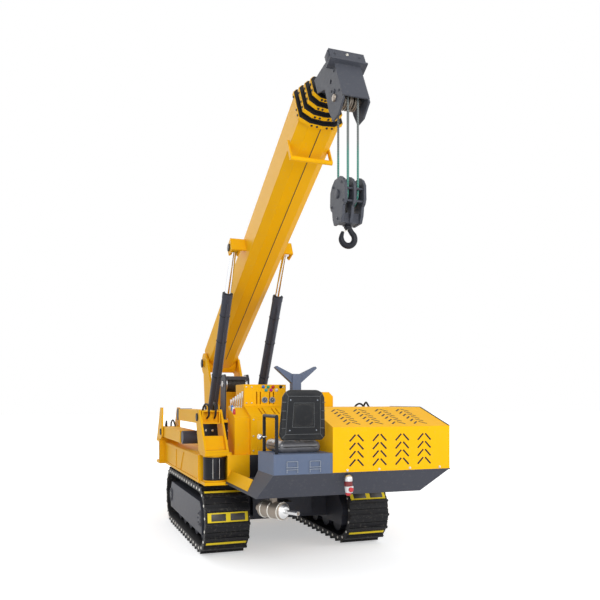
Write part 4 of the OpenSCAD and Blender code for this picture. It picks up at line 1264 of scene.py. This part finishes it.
@dataclass
class Carrier:
    """Trim of the tracks, the deck, the outriggers and the muffler."""

    gauge_half: float = 0.740
    shoe_half: float = 0.215
    axle: float = 0.880
    axle_z: float = 0.340
    shoe_r: float = 0.318
    shoes: int = 40
    plate_half: float = 0.195
    link_pin_r: float = 0.014
    hub_r: float = 0.080
    hub_out: float = 0.200
    hub_bolt_r: float = 0.058
    deck_top: float = 0.974
    muffler: Point = (-0.624, -1.964, 0.590)
    muffler_turn: float = -63.6
    muffler_r: float = 0.070
    root_half: float = 0.116
    root_pin_r: float = 0.040
    drum_r: float = 0.1065
    drum_z: tuple[float, float] = (0.7215, 0.9685)
    hose_run: tuple[tuple[float, float], ...] = ((0.17, -0.01), (0.11, 0.02), (0.095, 0.07), (0.13, 0.115),
                                                 (0.20, 0.13), (0.27, 0.105), (0.31, 0.055))
    hose_top: int = 4
    corners: dict[str, tuple[float, float, float, float]] = field(default_factory=lambda: {
        "rl": (-0.833, -1.030, 1.330, 1.0), "rr": (0.833, -1.030, 1.330, 1.0),
        "fl": (-0.915, 1.400, 1.100, -1.0), "fr": (0.915, 1.400, 1.100, -1.0)})

    def build(self) -> None:
        """Makes all the carrier's trim."""
        self._track_plates()
        self._track_pins()
        self._hubs()
        self._deck_plates()
        for key in self.corners:
            self._outrigger(key)
        self._muffler_bands()

    @property
    def pitch(self) -> float:
        """Length of one shoe along the loop."""
        return (4 * self.axle + math.tau * self.shoe_r) / self.shoes

    def _on_loop(self, s: float, rise: float) -> tuple[float, float, float]:
        """Gives a point of the track loop.

        Args:
            s: Length along the loop from the rear end of its bottom run.
            rise: Height over the shoes' plates.

        Returns:
            Its y and z, and the direction away from the loop as an angle from +Y.
        """
        straight, arc, r = 2 * self.axle, math.pi * self.shoe_r, self.shoe_r + rise
        if s < straight:
            return -self.axle + s, self.axle_z - r, -math.pi / 2
        if s < straight + arc:
            a = (s - straight) / self.shoe_r - math.pi / 2
            return self.axle + r * math.cos(a), self.axle_z + r * math.sin(a), a
        if s < 2 * straight + arc:
            return self.axle - (s - straight - arc), self.axle_z + r, math.pi / 2
        a = (s - 2 * straight - arc) / self.shoe_r + math.pi / 2
        return -self.axle + r * math.cos(a), self.axle_z + r * math.sin(a), a

    def _track_plates(self) -> None:
        """Makes the yellow plates and strips on the rear shoes, with blank dark panes."""
        plates, panes = Shape("shoe_plates"), Shape("shoe_panes")
        wide = {-1: (36,), 1: (35,)}
        thin = {-1: (34, 38), 1: (38,)}
        for side in (-1, 1):
            x = side * self.gauge_half
            for i in (*wide[side], *thin[side]):
                y, z, a = self._on_loop(i * self.pitch, 0.001)
                place = Matrix.Translation((x, y, z)) @ Matrix.Rotation(a, 4, "X")
                tall = 0.046 if i in wide[side] else 0.012
                plates.box((-self.plate_half, -0.005, -tall), (self.plate_half, 0.005, tall), 0.002, place)
                if i in wide[side]:
                    for mid in (-0.090, 0.095):
                        panes.box((mid - 0.070, 0.003, -0.033), (mid + 0.070, 0.0065, 0.033), 0.001, place)
        plates.finish(LEMON)
        panes.finish(PANE)

    def _track_pins(self) -> None:
        """Makes the bright ends of the link pins on both sides of each track."""
        pins = Shape("track_pins")
        for side, face, i in product((-1, 1), (-1, 1), range(self.shoes)):
            x = side * self.gauge_half + face * self.shoe_half
            y, z, _ = self._on_loop((i + 0.04) * self.pitch, -0.030)
            pins.rod((x - face * 0.004, y, z), (x + face * 0.005, y, z), self.link_pin_r, sides=16, bevel=0.003)
        pins.finish(ZINC)

    def _deck_plates(self) -> None:
        """Makes the bolted cover plates over the chassis' middle."""
        plates, bolts = Shape("deck_plates"), Shape("deck_plate_bolts")
        for y0, y1 in ((-0.480, 0.080), (0.090, 0.650), (0.660, 1.220)):
            plates.box((-0.560, y0, self.deck_top - 0.008), (0.560, y1, self.deck_top), 0.002)
            bolts.bolts((-0.53, -0.265, 0.0, 0.265, 0.53), (y0 + 0.03, y1 - 0.03), (self.deck_top,), (0, 0, 1), 0.008)
        plates.finish(YELLOW)
        bolts.finish(ZINC)

    def _hubs(self) -> None:
        """Makes the bolted caps of the end wheels."""
        hubs = Shape("wheel_hubs")
        for side in (-1, 1):
            out = side * (self.gauge_half + self.hub_out)
            for y in (-self.axle, self.axle):
                hubs.rod((out - side * 0.010, y, self.axle_z), (out + side * 0.010, y, self.axle_z), self.hub_r,
                         sides=36, bevel=0.004)
                for k in range(8):
                    a = math.tau * k / 8
                    dy, dz = self.hub_bolt_r * math.cos(a), self.hub_bolt_r * math.sin(a)
                    hubs.bolt((out + side * 0.010, y + dy, self.axle_z + dz), (side, 0, 0), 0.008)
        hubs.finish(CHARCOAL)

    def _outrigger(self, key: str) -> None:
        """Makes one outrigger's pin heads, hose loop, drum cover, and two bright lines on the drum: its seam and a
        painted highlight.

        Args:
            key: The corner's two letters.
        """
        x, y, z, ahead = self.corners[key]
        pins, hoses = Shape(f"outrigger_pin_heads_{key}"), Shape(f"arm_hoses_{key}")
        at_y = y + ahead * 0.25
        for side in (-1, 1):
            face = x + side * self.root_half
            pins.rod((face, at_y, z), (face + side * 0.012, at_y, z), self.root_pin_r, sides=28, bevel=0.003)
        pins.finish(BLACK, f"outrigger_root_{key}")
        for dx, rise in ((-0.030, 0.0), (0.032, 0.014)):
            run = [(d, up + rise * (i == self.hose_top)) for i, (d, up) in enumerate(self.hose_run)]
            hoses.sweep([(x + dx * (1.0 + 4.0 * abs(d - 0.12)), y + ahead * d, z + up) for d, up in run], 0.010)
        hoses.finish(RUBBER, f"outrigger_arm_{key}", SMOOTH_TUBE)
        drum, seam_and_highlight = Shape(f"swivel_drum_{key}"), Shape(f"swivel_seam_and_highlight_{key}")
        low, high = self.drum_z
        drum.rod((x, y, low), (x, y, high), self.drum_r, sides=48, bevel=0.003)
        for z_ring in (0.750, 0.940):
            drum.ring((x, y, z_ring), (0, 0, 1), self.drum_r, 0.004, 48)
        drum.finish(BLACK, f"outrigger_root_{key}")
        # Two bright steel lines on the black drum: one is its seam, the other a painted highlight of the drum's
        # vertical reflection.
        for turn in (-0.35, 0.25):
            dx, dy = self.drum_r * math.sin(turn), -ahead * self.drum_r * math.cos(turn)
            seam_and_highlight.rod((x + dx, y + dy, 0.745), (x + dx, y + dy, 0.945), 0.003, sides=10)
        seam_and_highlight.finish(STEEL, f"outrigger_root_{key}")

    def _muffler_bands(self) -> None:
        """Makes the muffler's clamps, its bright end cap and tail pipe sleeve."""
        bands, cap = Shape("muffler_bands"), Shape("muffler_cap")
        axis = Matrix.Rotation(math.radians(self.muffler_turn), 3, "Z") @ right(1)
        start = Vector(self.muffler)
        for d in (0.03, 0.12, 0.225):
            bands.ring(start + axis * d, axis, self.muffler_r, 0.006)
        cap.rod(start + axis * 0.236, start + axis * 0.272, 0.071, 0.038, sides=40, bevel=0.003)
        cap.rod(start + axis * 0.262, start + axis * 0.408, 0.0175)
        bands.finish(ZINC)
        cap.finish(STEEL)


def dress_nodes() -> None:
    """Gives each CAD node its finish."""
    for name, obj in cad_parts.items():
        if name.startswith("outrigger_beam"):
            finish: Finish | RopeFinish = CHARCOAL
        elif name.startswith("outrigger"):
            finish = YELLOW
        else:
            finish = NODE_FINISH[name]
        if not obj.material_slots:
            obj.data.materials.append(finish.make())
        for slot in obj.material_slots:
            slot.material = finish.make()
        log.info("%s takes %s", name, finish.name)


def main() -> None:
    """Builds the stage and every piece of trim in order."""
    logging.basicConfig(level=logging.INFO, format="%(message)s")
    Studio().build()
    dress_nodes()
    for part in (Carrier(), DriversEnd(), Column(), Boom(), Hoist()):
        part.build()


if __name__ == "__main__":
    main()
